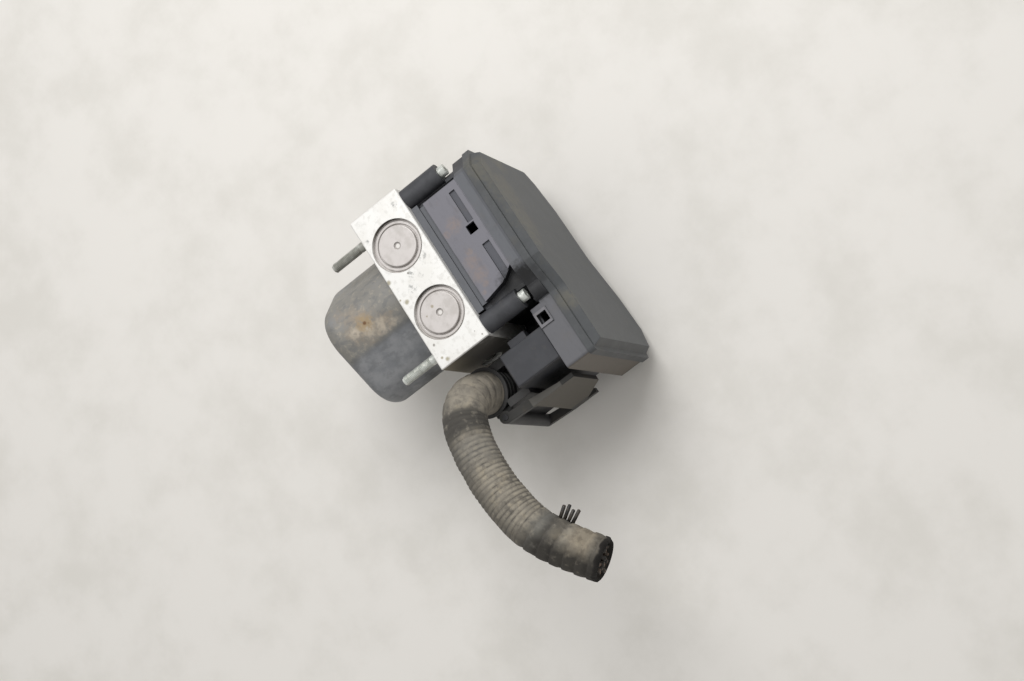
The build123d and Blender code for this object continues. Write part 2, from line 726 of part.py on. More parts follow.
cover += outlet * Pos(0, 0, outlet_length / 2) * Cylinder(collar_neck_radius, outlet_length)
for place in (0.0, 3.6, 7.2):
    cover += outlet * Pos(0, 0, place + 1.1) * Cylinder(collar_radius, 2.2)
cover += outlet * Pos(0, 0, outlet_length - 0.6) * Cylinder(collar_radius + collar_rib, 1.2)
cover -= box(plug_x0 + 1 + shell_wall, plug_x1 - shell_wall, shell_y0 + shell_wall, plug_y0 + 1,
             shell_z0 + shell_wall, shell_z1 - shell_wall)
cover -= rod_z(lever_x, lever_y, shell_z0 - 1, rail_z1 + 1, lever_pin_radius)
keep("plug_cover", cover)

# ---- lever ----
upper_arm_z0 = rail_z1 + lever_gap
lower_arm_z1 = shell_z0 - lever_gap
plate_outer = lever_plate_inner + lever_plate_thickness
arm_plan = Polygon((lever_x - lever_heel / 2, lever_y), (lever_x + lever_heel, lever_y),
                   (plate_outer, lever_plate_from), (plate_outer, lever_arm_end),
                   (lever_plate_inner, lever_arm_end), (lever_x + 0.3, lever_plate_from + 4), align=None)
lever = None
for z0 in (upper_arm_z0, lower_arm_z1 - lever_arm):
    arm = extrude(Pos(0, 0, z0) * arm_plan, amount=lever_arm)
    arm += rod_z(lever_x, lever_y, z0, z0 + lever_arm, lever_heel)
    lever = arm if lever is None else lever + arm
plate_low = lower_arm_z1 - lever_arm
plate_high = upper_arm_z0 + lever_arm
plate_side = Polygon((lever_plate_from, plate_low), (lever_plate_from + 8, plate_low),
                     (lever_tip_y, plate_low + lever_plate_cut), (lever_tip_y, plate_high),
                     (lever_plate_from, plate_high), align=None)
lever += extrude(Plane.YZ.offset(lever_plate_inner) * plate_side, amount=lever_plate_thickness)
lever -= rod_z(lever_x, lever_y, plate_low - 1, plate_high + 1, lever_pin_radius + lever_pin_gap)
keep("plug_lever", lever)
keep("lever_pin", rod_z(lever_x, lever_y, plate_low - 0.5, plate_high + 0.5, lever_pin_radius))

# ---- harness ----
lean = math.radians(outlet_tilt)
mouth = Vector(outlet_x, outlet_y, shell_z1) + Vector(0, -math.sin(lean), math.cos(lean)) * outlet_length
first_run = 11.1
route = [
    (0, 0, 0),
    (0, -first_run * math.sin(lean), first_run * math.cos(lean)),
    (3.6, -4.9, 21.3),
    (10.3, -8.0, 29.4),
    (20.5, -10.6, 35.3),
    (40.0, -12.6, 38.5),
    (63.1, -12.1, 40.2),
    (90.4, -7.3, 40.7),
    (112.1, 5.4, 39.5),
    (130.1, 19.2, 37.8),
]
points = [mouth + Vector(x, y, z) for x, y, z in route]
radii = []
for before, here, after in zip(points, points[1:], points[2:]):
    a = here - before
    b = after - here
    turn = math.radians(a.get_angle(b))
    radii.append(0.45 * min(a.length, b.length) / math.tan(turn / 2))
path = FilletPolyline(*points, radius=radii)
start = Plane(origin=path @ 0, z_dir=path % 0)
harness = sweep(start * Circle(harness_diameter / 2), path=path)
keep("harness_conduit", harness)
print("harness radii", [round(r, 1) for r in radii], "length", round(path.length, 1))
area = math.pi * harness_diameter ** 2 / 4
print("harness volume", round(harness.volume), "of", round(area * path.length))

# cut wires in the end of the conduit, and a cut branch in its side
end_point = path @ 1
end_dir = path % 1
end_plane = Plane(origin=end_point, z_dir=end_dir)
stubs = []
for i in range(7):
    angle = math.radians(51.4 * i)
    ring_r = 0 if i == 6 else 6.0
    centre = Pos(ring_r * math.cos(angle), ring_r * math.sin(angle), wire_stub / 2)
    stubs.append((end_plane.location * centre * Cylinder(wire_radius, wire_stub)).solid())
keep("harness_wires", Compound(children=stubs))
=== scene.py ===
import math
import random

import bmesh
import bpy
from mathutils import Matrix, Vector, noise


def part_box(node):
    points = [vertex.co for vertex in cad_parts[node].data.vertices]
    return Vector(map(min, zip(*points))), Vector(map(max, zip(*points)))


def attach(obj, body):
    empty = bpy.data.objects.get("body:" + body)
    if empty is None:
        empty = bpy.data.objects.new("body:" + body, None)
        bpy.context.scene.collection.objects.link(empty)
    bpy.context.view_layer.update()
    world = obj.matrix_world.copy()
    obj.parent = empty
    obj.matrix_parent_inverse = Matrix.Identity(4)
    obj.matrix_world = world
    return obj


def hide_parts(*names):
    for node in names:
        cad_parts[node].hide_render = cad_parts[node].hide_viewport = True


bl_info = {
    "name": "Brake module dresser",
    "version": (1, 0, 0),
    "blender": (4, 5, 0),
    "location": "3D View > Sidebar > Brake module",
    "description": "Finishes, harness, threads and dirt for an anti-lock brake module on its fixed frame",
    "category": "Object",
}

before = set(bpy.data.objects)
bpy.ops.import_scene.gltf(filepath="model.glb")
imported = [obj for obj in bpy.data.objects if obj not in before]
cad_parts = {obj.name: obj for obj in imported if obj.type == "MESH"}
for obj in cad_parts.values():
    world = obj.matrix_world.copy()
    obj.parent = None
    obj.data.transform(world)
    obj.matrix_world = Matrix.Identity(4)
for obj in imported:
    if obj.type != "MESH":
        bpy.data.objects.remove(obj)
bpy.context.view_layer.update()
MM = 0.001

# The harness rises out of the plug's collar, folds over and stays clear of the floor.
HARNESS_ROUTE = [
    (72.3, 4.886, -19.576), (72.3, 2.958, -8.645), (75.9, -0.014, 1.724), (82.6, -3.114, 9.824),
    (92.8, -5.714, 15.724), (112.3, -7.714, 18.924), (135.4, -7.214, 20.624), (162.7, -2.414, 21.124),
    (184.4, 10.286, 19.924), (202.4, 24.086, 18.224),
]


# ---- colours and nodes ----
def linear(code):
    """Turns an sRGB hex value such as "8a8a8a" into linear red, green, blue and alpha."""
    parts = [int(code[i:i + 2], 16) / 255 for i in (0, 2, 4)]
    return tuple(p / 12.92 if p <= 0.04045 else ((p + 0.055) / 1.055) ** 2.4 for p in parts) + (1.0,)


def per_mm(size):
    """The texture scale at which one feature is this many millimetres across."""
    return 1000.0 / size


def feed(tree, node, inputs):
    """Gives a node its inputs: a socket is linked, and any other value is set."""
    for key, value in inputs.items():
        if isinstance(value, bpy.types.NodeSocket):
            tree.links.new(value, node.inputs[key])
        else:
            node.inputs[key].default_value = value


def add(tree, kind, inputs=None, **settings):
    """Adds a node: settings go on the node, and inputs are values or sockets to link."""
    made = tree.nodes.new(kind)
    for key, value in settings.items():
        setattr(made, key, value)
    feed(tree, made, inputs or {})
    return made


def start(name):
    """Starts a material and returns it with its tree, its object coordinates and its shader."""
    material = bpy.data.materials.new(name)
    material.use_nodes = True
    tree = material.node_tree
    tree.nodes.clear()
    shader = add(tree, "ShaderNodeBsdfPrincipled")
    add(tree, "ShaderNodeOutputMaterial", {"Surface": shader.outputs["BSDF"]})
    place = add(tree, "ShaderNodeTexCoord").outputs["Object"]
    return material, tree, place, shader


def patches(tree, place, size, low, high, detail=5.0, stretch=(1, 1, 1)):
    """A mask of cloudy patches this many millimetres across: 0 below low, 1 above high."""
    turned = add(tree, "ShaderNodeMapping", {"Vector": place, "Scale": stretch})
    cloud = add(tree, "ShaderNodeTexNoise", {"Vector": turned.outputs[0], "Scale": per_mm(size),
                                             "Detail": detail, "Roughness": 0.62})
    ramp = add(tree, "ShaderNodeMapRange", {"Value": cloud.outputs["Fac"], "From Min": low, "From Max": high},
               interpolation_type="SMOOTHSTEP")
    return ramp.outputs["Result"]


def marks(tree, place, spots, ragged=0.5):
    """A mask of single marks, each given as x, y, z and radius in millimetres, with ragged edges.

    Noise is added to the distance from each mark, and the mask fades between two shares of the radius."""
    shift = add(tree, "ShaderNodeTexNoise", {"Vector": place, "Scale": per_mm(2.2), "Detail": 4.0})
    total = None
    for x, y, z, radius in spots:
        spot = (x * MM, y * MM, z * MM)
        reach = add(tree, "ShaderNodeVectorMath", {0: place, 1: spot}, operation="DISTANCE")
        wobble = add(tree, "ShaderNodeMath", {0: shift.outputs["Fac"], 1: ragged * radius * MM * 2,
                                              2: reach.outputs["Value"]},
                     operation="MULTIPLY_ADD")
        inside = add(tree, "ShaderNodeMapRange", {"Value": wobble.outputs[0], "From Min": radius * MM * 1.9,
                                                  "From Max": radius * MM * 0.9},
                     interpolation_type="SMOOTHSTEP")
        if total is None:
            total = inside.outputs["Result"]
        else:
            most = add(tree, "ShaderNodeMath", {0: total, 1: inside.outputs["Result"]}, operation="MAXIMUM")
            total = most.outputs[0]
    return total


def times(tree, *masks):
    """Several masks multiplied together, with plain numbers allowed."""
    total = masks[0]
    for mask in masks[1:]:
        total = add(tree, "ShaderNodeMath", {0: total, 1: mask}, operation="MULTIPLY").outputs[0]
    return total


def facing(tree, axis, low, high):
    """A mask of the faces that look along one of the piece's own axes."""
    normal = add(tree, "ShaderNodeNewGeometry").outputs["Normal"]
    along = add(tree, "ShaderNodeVectorMath", {0: normal, 1: axis}, operation="DOT_PRODUCT")
    ramp = add(tree, "ShaderNodeMapRange", {"Value": along.outputs["Value"], "From Min": low,
                                            "From Max": high})
    return ramp.outputs["Result"]


def zone(tree, place, low, high, soft=1.0):
    """A mask of a box given in millimetres in the module's frame, with an edge this soft."""
    middle = tuple((a + b) / 2 * MM for a, b in zip(low, high))
    half = tuple((b - a) / 2 * MM for a, b in zip(low, high))
    away = add(tree, "ShaderNodeVectorMath", {0: place, 1: middle}, operation="SUBTRACT")
    size = add(tree, "ShaderNodeVectorMath", {0: away.outputs[0]}, operation="ABSOLUTE")
    past = add(tree, "ShaderNodeVectorMath", {0: size.outputs[0], 1: half}, operation="SUBTRACT")
    split = add(tree, "ShaderNodeSeparateXYZ", {0: past.outputs[0]})
    most = add(tree, "ShaderNodeMath", {0: split.outputs["X"], 1: split.outputs["Y"]}, operation="MAXIMUM")
    most = add(tree, "ShaderNodeMath", {0: most.outputs[0], 1: split.outputs["Z"]}, operation="MAXIMUM")
    ramp = add(tree, "ShaderNodeMapRange", {"Value": most.outputs[0], "From Min": soft * MM / 2,
                                            "From Max": -soft * MM / 2}, interpolation_type="SMOOTHSTEP")
    return ramp.outputs["Result"]


def rubbed_edges(tree, reach):
    """Returns a softened normal and a mask of the edges within this many millimetres.

    The softened normal turns away from the true one near an edge, and the mask reads that as a cosine."""
    soft = add(tree, "ShaderNodeBevel", {"Radius": reach * MM}, samples=4)
    true = add(tree, "ShaderNodeNewGeometry")
    match = add(tree, "ShaderNodeVectorMath", {0: soft.outputs[0], 1: true.outputs["Normal"]},
                operation="DOT_PRODUCT")
    ramp = add(tree, "ShaderNodeMapRange", {"Value": match.outputs["Value"], "From Min": 0.985,
                                            "From Max": 0.86})
    return soft.outputs[0], ramp.outputs["Result"]


def over(tree, base, top, mask):
    """Lays a colour over another one where the mask is 1, as dirt lies over paint."""
    made = add(tree, "ShaderNodeMix", {0: mask, 6: base, 7: top}, data_type="RGBA")
    return made.outputs[2]


def coat(tree, base, code, *masks):
    """Lays a colour, given as a hex value, over the base where every mask is 1."""
    return over(tree, base, linear(code), times(tree, *masks))


def relief(tree, place, size, height, normal=None, detail=3.0, mask=None):
    """A fine relief of this grain size and height in millimetres, as a normal."""
    grain = add(tree, "ShaderNodeTexNoise", {"Vector": place, "Scale": per_mm(size), "Detail": detail})
    field = grain.outputs["Fac"]
    if mask is not None:
        field = add(tree, "ShaderNodeMath", {0: field, 1: 0.5, 2: mask}, operation="MULTIPLY_ADD").outputs[0]
    inputs = {"Height": field, "Distance": height * MM, "Strength": 1.0}
    if normal is not None:
        inputs["Normal"] = normal
    return add(tree, "ShaderNodeBump", inputs).outputs[0]


# ---- marks ----
# Each mark is x, y, z and radius, in millimetres in the module's frame.
BLOCK_SPOTS = [(-9.2, 1, 12, 1.5), (7.2, 4.4, 12, 1.5), (50.3, 7, 12, 1.3), (47.8, 4.4, 12, 0.8),
               (4, 1.4, 12, 0.7)]
BLOCK_DOTS = [(38.6, 4.3, 12, 0.8), (51.2, 33, 12, 0.6), (-6.6, 14.6, 12, 0.6), (47, 30, 12, 0.4)]
BLOCK_SMUDGES = [(-5, 16.5, 12, 3.4), (2.5, 12, 12, 3.6), (-9, 28, 12, 3.4), (-1, 21, 12, 2.4),
                 (-46, 30, 12, 2.6), (-38, 3.5, 12, 2)]
CAP_SPOTS = [(18.8, 16, 11.5, 1), (21.8, 10, 11.5, 0.6)]
CAN_DUST = [(-3, -30, 7, 13), (8, -16, 8.7, 8), (10, -26, 8.4, 8), (-12, -40, 2.6, 7)]
CAN_PALE = [(5, -27, 9, 6), (8.5, -20, 8.6, 6.5), (10.5, -12, 8.2, 5), (2, -35, 9, 4)]
CAN_SHADE = [(37, -28, -38, 10), (36.5, -17, -28, 9), (37, -40, -42, 8)]
CAN_HALOS = [(-0.1, -26.4, 8.2, 5.4), (-9, -37.1, 4.2, 2.6), (7, -36.2, 8.8, 2.4), (17.5, -45, 5.6, 2.2),
             (4.9, -9.3, 8.9, 2)]
CAN_RUST = [(-0.1, -26.4, 8.2, 1.5), (1.4, -24.6, 8.5, 0.9), (17.5, -45, 5.6, 0.8)]
PANEL_STAINS = [(-13.3, 53.7, 9.2, 5), (-11.2, 46.7, 9.2, 2.6), (11.6, 50.6, 9.2, 5), (20, 50.2, 9.2, 5.6),
                (6, 52.4, 9.2, 2.6), (27, 50.6, 9.2, 2.4), (31, 47, 9.2, 1.6)]
# Dark marks on the lid beside the second boss: partly grease, partly painted shade.
LID_GREASE_AND_SHADE = [(43, 80, 6, 4), (38, 79, 8, 4)]
# Dark marks between the panel's end and the second boss: partly grease, partly painted shade.
DECK_GREASE_AND_SHADE = [(36, 64, 4, 9), (38, 72, 7, 9.5), (46, 74, 4, 8.5), (44, 68, 6, 8)]
LID_DUST = [(-33, 86.6, 4, 12), (-17, 86.6, -9, 17), (4, 86.6, -8, 14), (18, 86.6, -4, 8),
            (-44, 86.6, -30, 10), (62, 84, -2, 7)]

# Bands of tape and dust along the conduit, in millimetres from the collar: where each one starts, where it is
# full, where it starts to fade, where it ends, its colour and its strength.
BANDS = [(-2, 0, 30, 36, "8a8378", 0.3), (36, 40, 49, 54, "393734", 0.92),
         (53, 57, 64, 74, "6a6966", 0.35), (114, 121, 126, 132, "5b5b58", 0.75),
         (123, 127, 135, 140, "35322e", 0.6), (139, 144, 153, 158, "80735f", 0.35),
         (153, 157, 164, 166, "35312c", 0.6)]


# ---- finishes ----
def milled_aluminium():
    """Milled and anodised aluminium: nearly white and dull, with fine cutter lines, a few spots of dirt, and
    an end face darkened partly by dirt and partly by painted shade.

    Real cutter lines are finer. They are drawn 2.6 mm apart, as coarse as it takes for them to show."""
    material, tree, place, shader = start("milled anodised aluminium")
    cutter = add(tree, "ShaderNodeTexWave", {"Vector": place, "Scale": per_mm(2.6), "Distortion": 0.6,
                                             "Detail": 2.0}, bands_direction="X")
    base = over(tree, linear("e5e4e1"), linear("dcdad6"), times(tree, cutter.outputs["Fac"], 0.35))
    cloudy = patches(tree, place, 16, 0.48, 0.68)
    base = coat(tree, base, "d6d3cd", cloudy, 0.45)
    mottle = patches(tree, place, 3.2, 0.5, 0.64)
    base = coat(tree, base, "c9c7c2", mottle, 0.5)
    smear = times(tree, marks(tree, place, BLOCK_SMUDGES, 0.9), patches(tree, place, 2.4, 0.42, 0.6))
    base = coat(tree, base, "8f908e", smear, 0.85)
    specks = patches(tree, place, 1.4, 0.68, 0.74)
    base = coat(tree, base, "8a8578", specks, 0.6)
    grease = marks(tree, place, BLOCK_SPOTS)
    base = coat(tree, base, "8c8363", grease, 0.75)
    dots = marks(tree, place, BLOCK_DOTS)
    base = coat(tree, base, "6a6459", dots, 0.75)
    # The end face is darkened, more so further along Y: partly dirt, partly painted shade.
    front = facing(tree, (1, 0, 0), 0.6, 0.9)
    side = add(tree, "ShaderNodeSeparateXYZ", {0: place}).outputs["Y"]
    deep = add(tree, "ShaderNodeMapRange", {"Value": side, "From Min": 2 * MM, "From Max": 16 * MM})
    shade = over(tree, linear("7d7460"), linear("413c36"), deep.outputs[0])
    base = over(tree, base, shade, times(tree, front, patches(tree, place, 20, 0.1, 0.4), 0.93))
    # Faces that look down are darker and browner.
    downward_face_tone = times(tree, facing(tree, (0, 0, -1), 0.5, 0.9), patches(tree, place, 18, 0.42, 0.62), 0.5)
    base = coat(tree, base, "8f887c", downward_face_tone)
    soft, edge = rubbed_edges(tree, 0.5)
    base = coat(tree, base, "f0f0ee", edge, 0.5)
    rough = add(tree, "ShaderNodeMapRange", {"Value": smear, "To Min": 0.5, "To Max": 0.85})
    feed(tree, shader, {"Base Color": base, "Metallic": 0.25, "Roughness": rough.outputs[0],
                        "Normal": relief(tree, place, 0.9, 0.03, soft)})
    return material


def pressed_cap():
    """Pressed aluminium cap with a dull flake coat: warm grey, darker low in its groove, with a painted
    highlight at its centre and a painted shade ring round it.
    """
    material, tree, place, shader = start("pressed aluminium cap, flake coated")
    base = over(tree, linear("c5c0bd"), linear("b7b2ae"), patches(tree, place, 7, 0.42, 0.66))
    lip, edge = rubbed_edges(tree, 0.5)
    base = coat(tree, base, "e6e4e1", edge, 0.6)
    # Darker low in the groove.
    height = add(tree, "ShaderNodeSeparateXYZ", {0: place}).outputs["Z"]
    low = add(tree, "ShaderNodeMapRange", {"Value": height, "From Min": 9.4 * MM, "From Max": 8.6 * MM})
    groove = times(tree, low.outputs[0], patches(tree, place, 6, 0.3, 0.6), 0.6)
    base = coat(tree, base, "7b746a", groove)
    mirrored = add(tree, "ShaderNodeVectorMath", {0: place}, operation="ABSOLUTE")
    aside = add(tree, "ShaderNodeVectorMath", {0: mirrored.outputs[0], 1: (24.5 * MM, 18 * MM, 0)},
                operation="SUBTRACT")
    flat = add(tree, "ShaderNodeVectorMath", {0: aside.outputs[0], 1: (1, 1, 0)}, operation="MULTIPLY")
    off = add(tree, "ShaderNodeVectorMath", {0: flat.outputs[0]}, operation="LENGTH").outputs["Value"]
    # At the centre of each cap: a painted shade ring, and inside it a painted highlight.
    centre_shade_ring = add(tree, "ShaderNodeMapRange", {"Value": off, "From Min": 2.5 * MM, "From Max": 2.0 * MM})
    base = coat(tree, base, "87817c", centre_shade_ring.outputs[0], 0.6)
    centre_highlight = add(tree, "ShaderNodeMapRange", {"Value": off, "From Min": 1.5 * MM, "From Max": 1.1 * MM})
    base = coat(tree, base, "dedbd7", centre_highlight.outputs[0], 0.85)
    dots = marks(tree, place, CAP_SPOTS)
    base = coat(tree, base, "8a7d60", dots, 0.7)
    specks = patches(tree, place, 1.2, 0.68, 0.74)
    base = coat(tree, base, "9a9184", specks, 0.5)
    feed(tree, shader, {"Base Color": base, "Metallic": 0.35, "Roughness": 0.5,
                        "Normal": relief(tree, place, 0.6, 0.02, lip)})
    return material


def zinc_plate(name="zinc plated steel", dull=0.34):
    """Zinc plated steel: whitish and cloudy from zinc bloom, with a little dirt in the thread."""
    material, tree, place, shader = start(name)
    base = over(tree, linear("d2d5d0"), linear("aeb1aa"), patches(tree, place, 4, 0.42, 0.66))
    bloom = patches(tree, place, 2, 0.5, 0.62)
    base = coat(tree, base, "ecece7", bloom, 0.6)
    dirt = patches(tree, place, 3, 0.62, 0.72)
    base = coat(tree, base, "847c6e", dirt, 0.5)
    rear_stud = zone(tree, place, (-70, -60, -20), (-20, 1, 20))
    base = coat(tree, base, "7a776e", rear_stud, patches(tree, place, 4, 0.2, 0.5), 0.65)
    rough = add(tree, "ShaderNodeMapRange", {"Value": bloom, "To Min": dull, "To Max": dull + 0.3})
    feed(tree, shader, {"Base Color": base, "Metallic": 0.5, "Roughness": rough.outputs[0],
                        "Normal": relief(tree, place, 0.5, 0.02)})
    return material


def passivated_can():
    """Deep drawn steel, passivated: dark blue-grey, with pale brown dust on its flat, rust blooms, and
    painted shade along its fold, on its underside and next to the block.
    """
    material, tree, place, shader = start("passivated drawn steel")
    base = over(tree, linear("868789"), linear("75777a"), patches(tree, place, 12, 0.4, 0.64))
    aside = add(tree, "ShaderNodeSeparateXYZ", {0: place}).outputs["X"]
    left_of = add(tree, "ShaderNodeMapRange", {"Value": aside, "From Min": 14 * MM, "From Max": 11.5 * MM})
    upper = times(tree, left_of.outputs[0], facing(tree, (-0.5, 0, 0.866), 0.2, 0.4))
    dust = times(tree, upper, patches(tree, place, 24, 0.15, 0.5), 0.8)
    base = coat(tree, base, "84817a", dust)
    brown = times(tree, upper, marks(tree, place, CAN_DUST, 0.6), patches(tree, place, 6, 0.3, 0.6), 0.7)
    base = coat(tree, base, "968979", brown)
    pale = times(tree, upper, patches(tree, place, 3, 0.52, 0.66), 0.5)
    base = coat(tree, base, "a09a8e", pale)
    blue = patches(tree, place, 4.5, 0.5, 0.64, stretch=(1, 0.6, 1))
    base = coat(tree, base, "67696b", blue, 0.45)
    clean = times(tree, upper, marks(tree, place, CAN_PALE, 0.5), patches(tree, place, 5, 0.25, 0.55), 0.85)
    base = coat(tree, base, "bdb2a2", clean)
    # Painted shade along the fold between the upper flat and the flat below it.
    fold = zone(tree, place, (11.4, -54, 0), (14.6, 0, 12), 2.4)
    crease_shade = times(tree, fold, patches(tree, place, 9, 0.3, 0.55), 0.45)
    base = coat(tree, base, "5a5a58", crease_shade)
    halo = times(tree, marks(tree, place, CAN_HALOS, 0.4), patches(tree, place, 2.6, 0.3, 0.55), 0.8)
    base = coat(tree, base, "9f8a6a", halo)
    pits = marks(tree, place, CAN_RUST, 0.6)
    base = coat(tree, base, "6b4a2c", pits, 0.9)
    specks = patches(tree, place, 1.8, 0.68, 0.74)
    base = coat(tree, base, "55524b", specks, 0.5)
    # Painted shade on the faces that look down.
    under = times(tree, facing(tree, (0.35, 0, -0.94), 0.3, 0.9), 0.6)
    base = coat(tree, base, "3d3d3b", under)
    corner = times(tree, marks(tree, place, CAN_SHADE, 0.4), patches(tree, place, 12, 0.15, 0.5), 0.8)
    base = coat(tree, base, "37393a", corner)
    soft = rubbed_edges(tree, 1.0)[0]
    feed(tree, shader, {"Base Color": base, "Metallic": 0.25, "Roughness": 0.62,
                        "Normal": relief(tree, place, 1.2, 0.05, soft, mask=pits)})
    return material


def moulded(name, plain, bare, edge_colour, dusty, brown, amount, rough=0.5, layers=(), stains=()):
    """Glass filled nylon as moulded: near black with a faint sheen, greyed where dust lies.

    A layer is a colour laid in a box: low corner, high corner, colour, amount and the way the face looks.
    A stain is a list of spots with a colour, an amount and a grain size."""
    material, tree, place, shader = start(name)
    base = over(tree, linear(plain), linear(bare), patches(tree, place, 9, 0.42, 0.62))
    dust = times(tree, facing(tree, (0, 0, 1), 0.0, 0.9), patches(tree, place, 26, 0.12, 0.5), amount)
    base = coat(tree, base, dusty, dust)
    for low, high, colour, strength, look in layers:
        laid = times(tree, zone(tree, place, low, high, 0.5), facing(tree, look, 0.35, 0.8),
                     patches(tree, place, 18, 0.05, 0.42), strength)
        base = coat(tree, base, colour, laid)
    for spots, colour, strength, grain in stains:
        laid = times(tree, marks(tree, place, spots, 0.5), patches(tree, place, grain, 0.22, 0.6), strength)
        base = coat(tree, base, colour, laid)
    earth = times(tree, patches(tree, place, 11, 0.54, 0.7), 0.5 * amount)
    base = coat(tree, base, brown, earth)
    streak = times(tree, patches(tree, place, 5, 0.5, 0.7, stretch=(0.5, 1.4, 1)), 0.3)
    base = coat(tree, base, bare, streak, 0.5)
    soft, edge = rubbed_edges(tree, 0.5)
    base = coat(tree, base, edge_colour, edge, 0.4)
    matt = add(tree, "ShaderNodeMapRange", {"Value": dust, "To Min": rough, "To Max": 0.9})
    feed(tree, shader, {"Base Color": base, "Roughness": matt.outputs[0],
                        "Normal": relief(tree, place, 0.5, 0.03, soft)})
    return material


def housing_nylon():
    """Black glass filled nylon housing: clean bosses, with grey dust and red-brown stains on its panel, and a
    dark patch between the panel and the second boss, partly grease and partly painted shade.
    """
    up = (0, 0, 1)
    layers = (
        ((-39, 35, 3), (39, 44.6, 7.4), "5f6166", 0.9, up),
        ((-38, 44, 8.4), (38, 69.4, 10), "6f6e75", 0.95, up),
        ((-38, 44, 6), (38, 69.4, 8.4), "4e4f56", 0.9, up),
        ((-44, 69.4, 5), (36, 75.6, 12), "5c5e63", 0.85, up),
        ((-44, 75.6, 5), (38, 78, 12), "505257", 0.85, up),
        # The next box is painted shade, with some grease, between the panel's end and the second boss.
        ((36, 66, 5), (53, 78, 12), "26272a", 0.9, up),
        ((53, 69.4, 5), (60, 78, 12), "505257", 0.85, up),
        ((53, 60, -3), (98, 78, 3), "606064", 0.85, up),
        ((57, 60, 0.2), (69, 70, 2), "78767a", 0.6, up),
        ((95, 60, -96), (99, 78, 1), "645d54", 0.85, (1, 0, 0)),
    )
    stains = ((PANEL_STAINS, "7f726d", 0.62, 2.4), (DECK_GREASE_AND_SHADE, "08080a", 1.0, 60.0))
    return moulded("glass filled nylon, housing", "25262a", "333438", "595a5e", "4d4e52", "5f574e", 0.28,
                   layers=layers, stains=stains)


def lid_nylon():
    """Black glass filled nylon lid: blue-grey and rubbed, with olive road dust on its rear half, and a dark
    patch beside the second boss, partly grease and partly painted shade.
    """
    layers = (((-60, 80, -120), (100, 90, 20), "474b4e", 0.6, (0, 1, 0)),)
    stains = ((LID_DUST, "646052", 0.5, 4.0), (LID_GREASE_AND_SHADE, "2c2d2f", 0.8, 30.0))
    return moulded("glass filled nylon, lid", "3e4042", "484a4c", "646667", "484a4c", "524f45", 0.4,
                   layers=layers, stains=stains)


def plug_nylon():
    """Black glass filled nylon plug: dull, with the most road dust on its upper faces."""
    return moulded("glass filled nylon, plug", "2e2f33", "38393d", "505053", "3f4044", "55504a", 0.6)


def plug_cover_nylon():
    """Black glass filled nylon cover of the plug: dull and a little browner than the plug."""
    return moulded("glass filled nylon, plug cover", "2b2b2d", "353536", "505051", "444341", "55504a", 0.5)


def lever_nylon():
    """Black nylon lever: olive dust on its outer face, and a pale rubbed strip along its upper edge."""
    layers = (
        ((92, 26, -80), (99, 58, -16), "4a453b", 0.9, (1, 0, 0)),
        ((90, 26, -19), (99, 48, -17), "615f5a", 0.8, (0, 0, 1)),
    )
    return moulded("nylon, lever", "262626", "2f2e2d", "52504d", "3a3936", "4a4338", 0.6, layers=layers)


def plain_part(name, colour, other, metallic, rough, size):
    """A part that is hidden in the closed module: its own metal, plastic or rubber with a fine grain."""
    material, tree, place, shader = start(name)
    base = over(tree, linear(colour), linear(other), patches(tree, place, size, 0.4, 0.65))
    feed(tree, shader, {"Base Color": base, "Metallic": metallic, "Roughness": rough,
                        "Normal": relief(tree, place, size / 6, 0.02)})
    return material


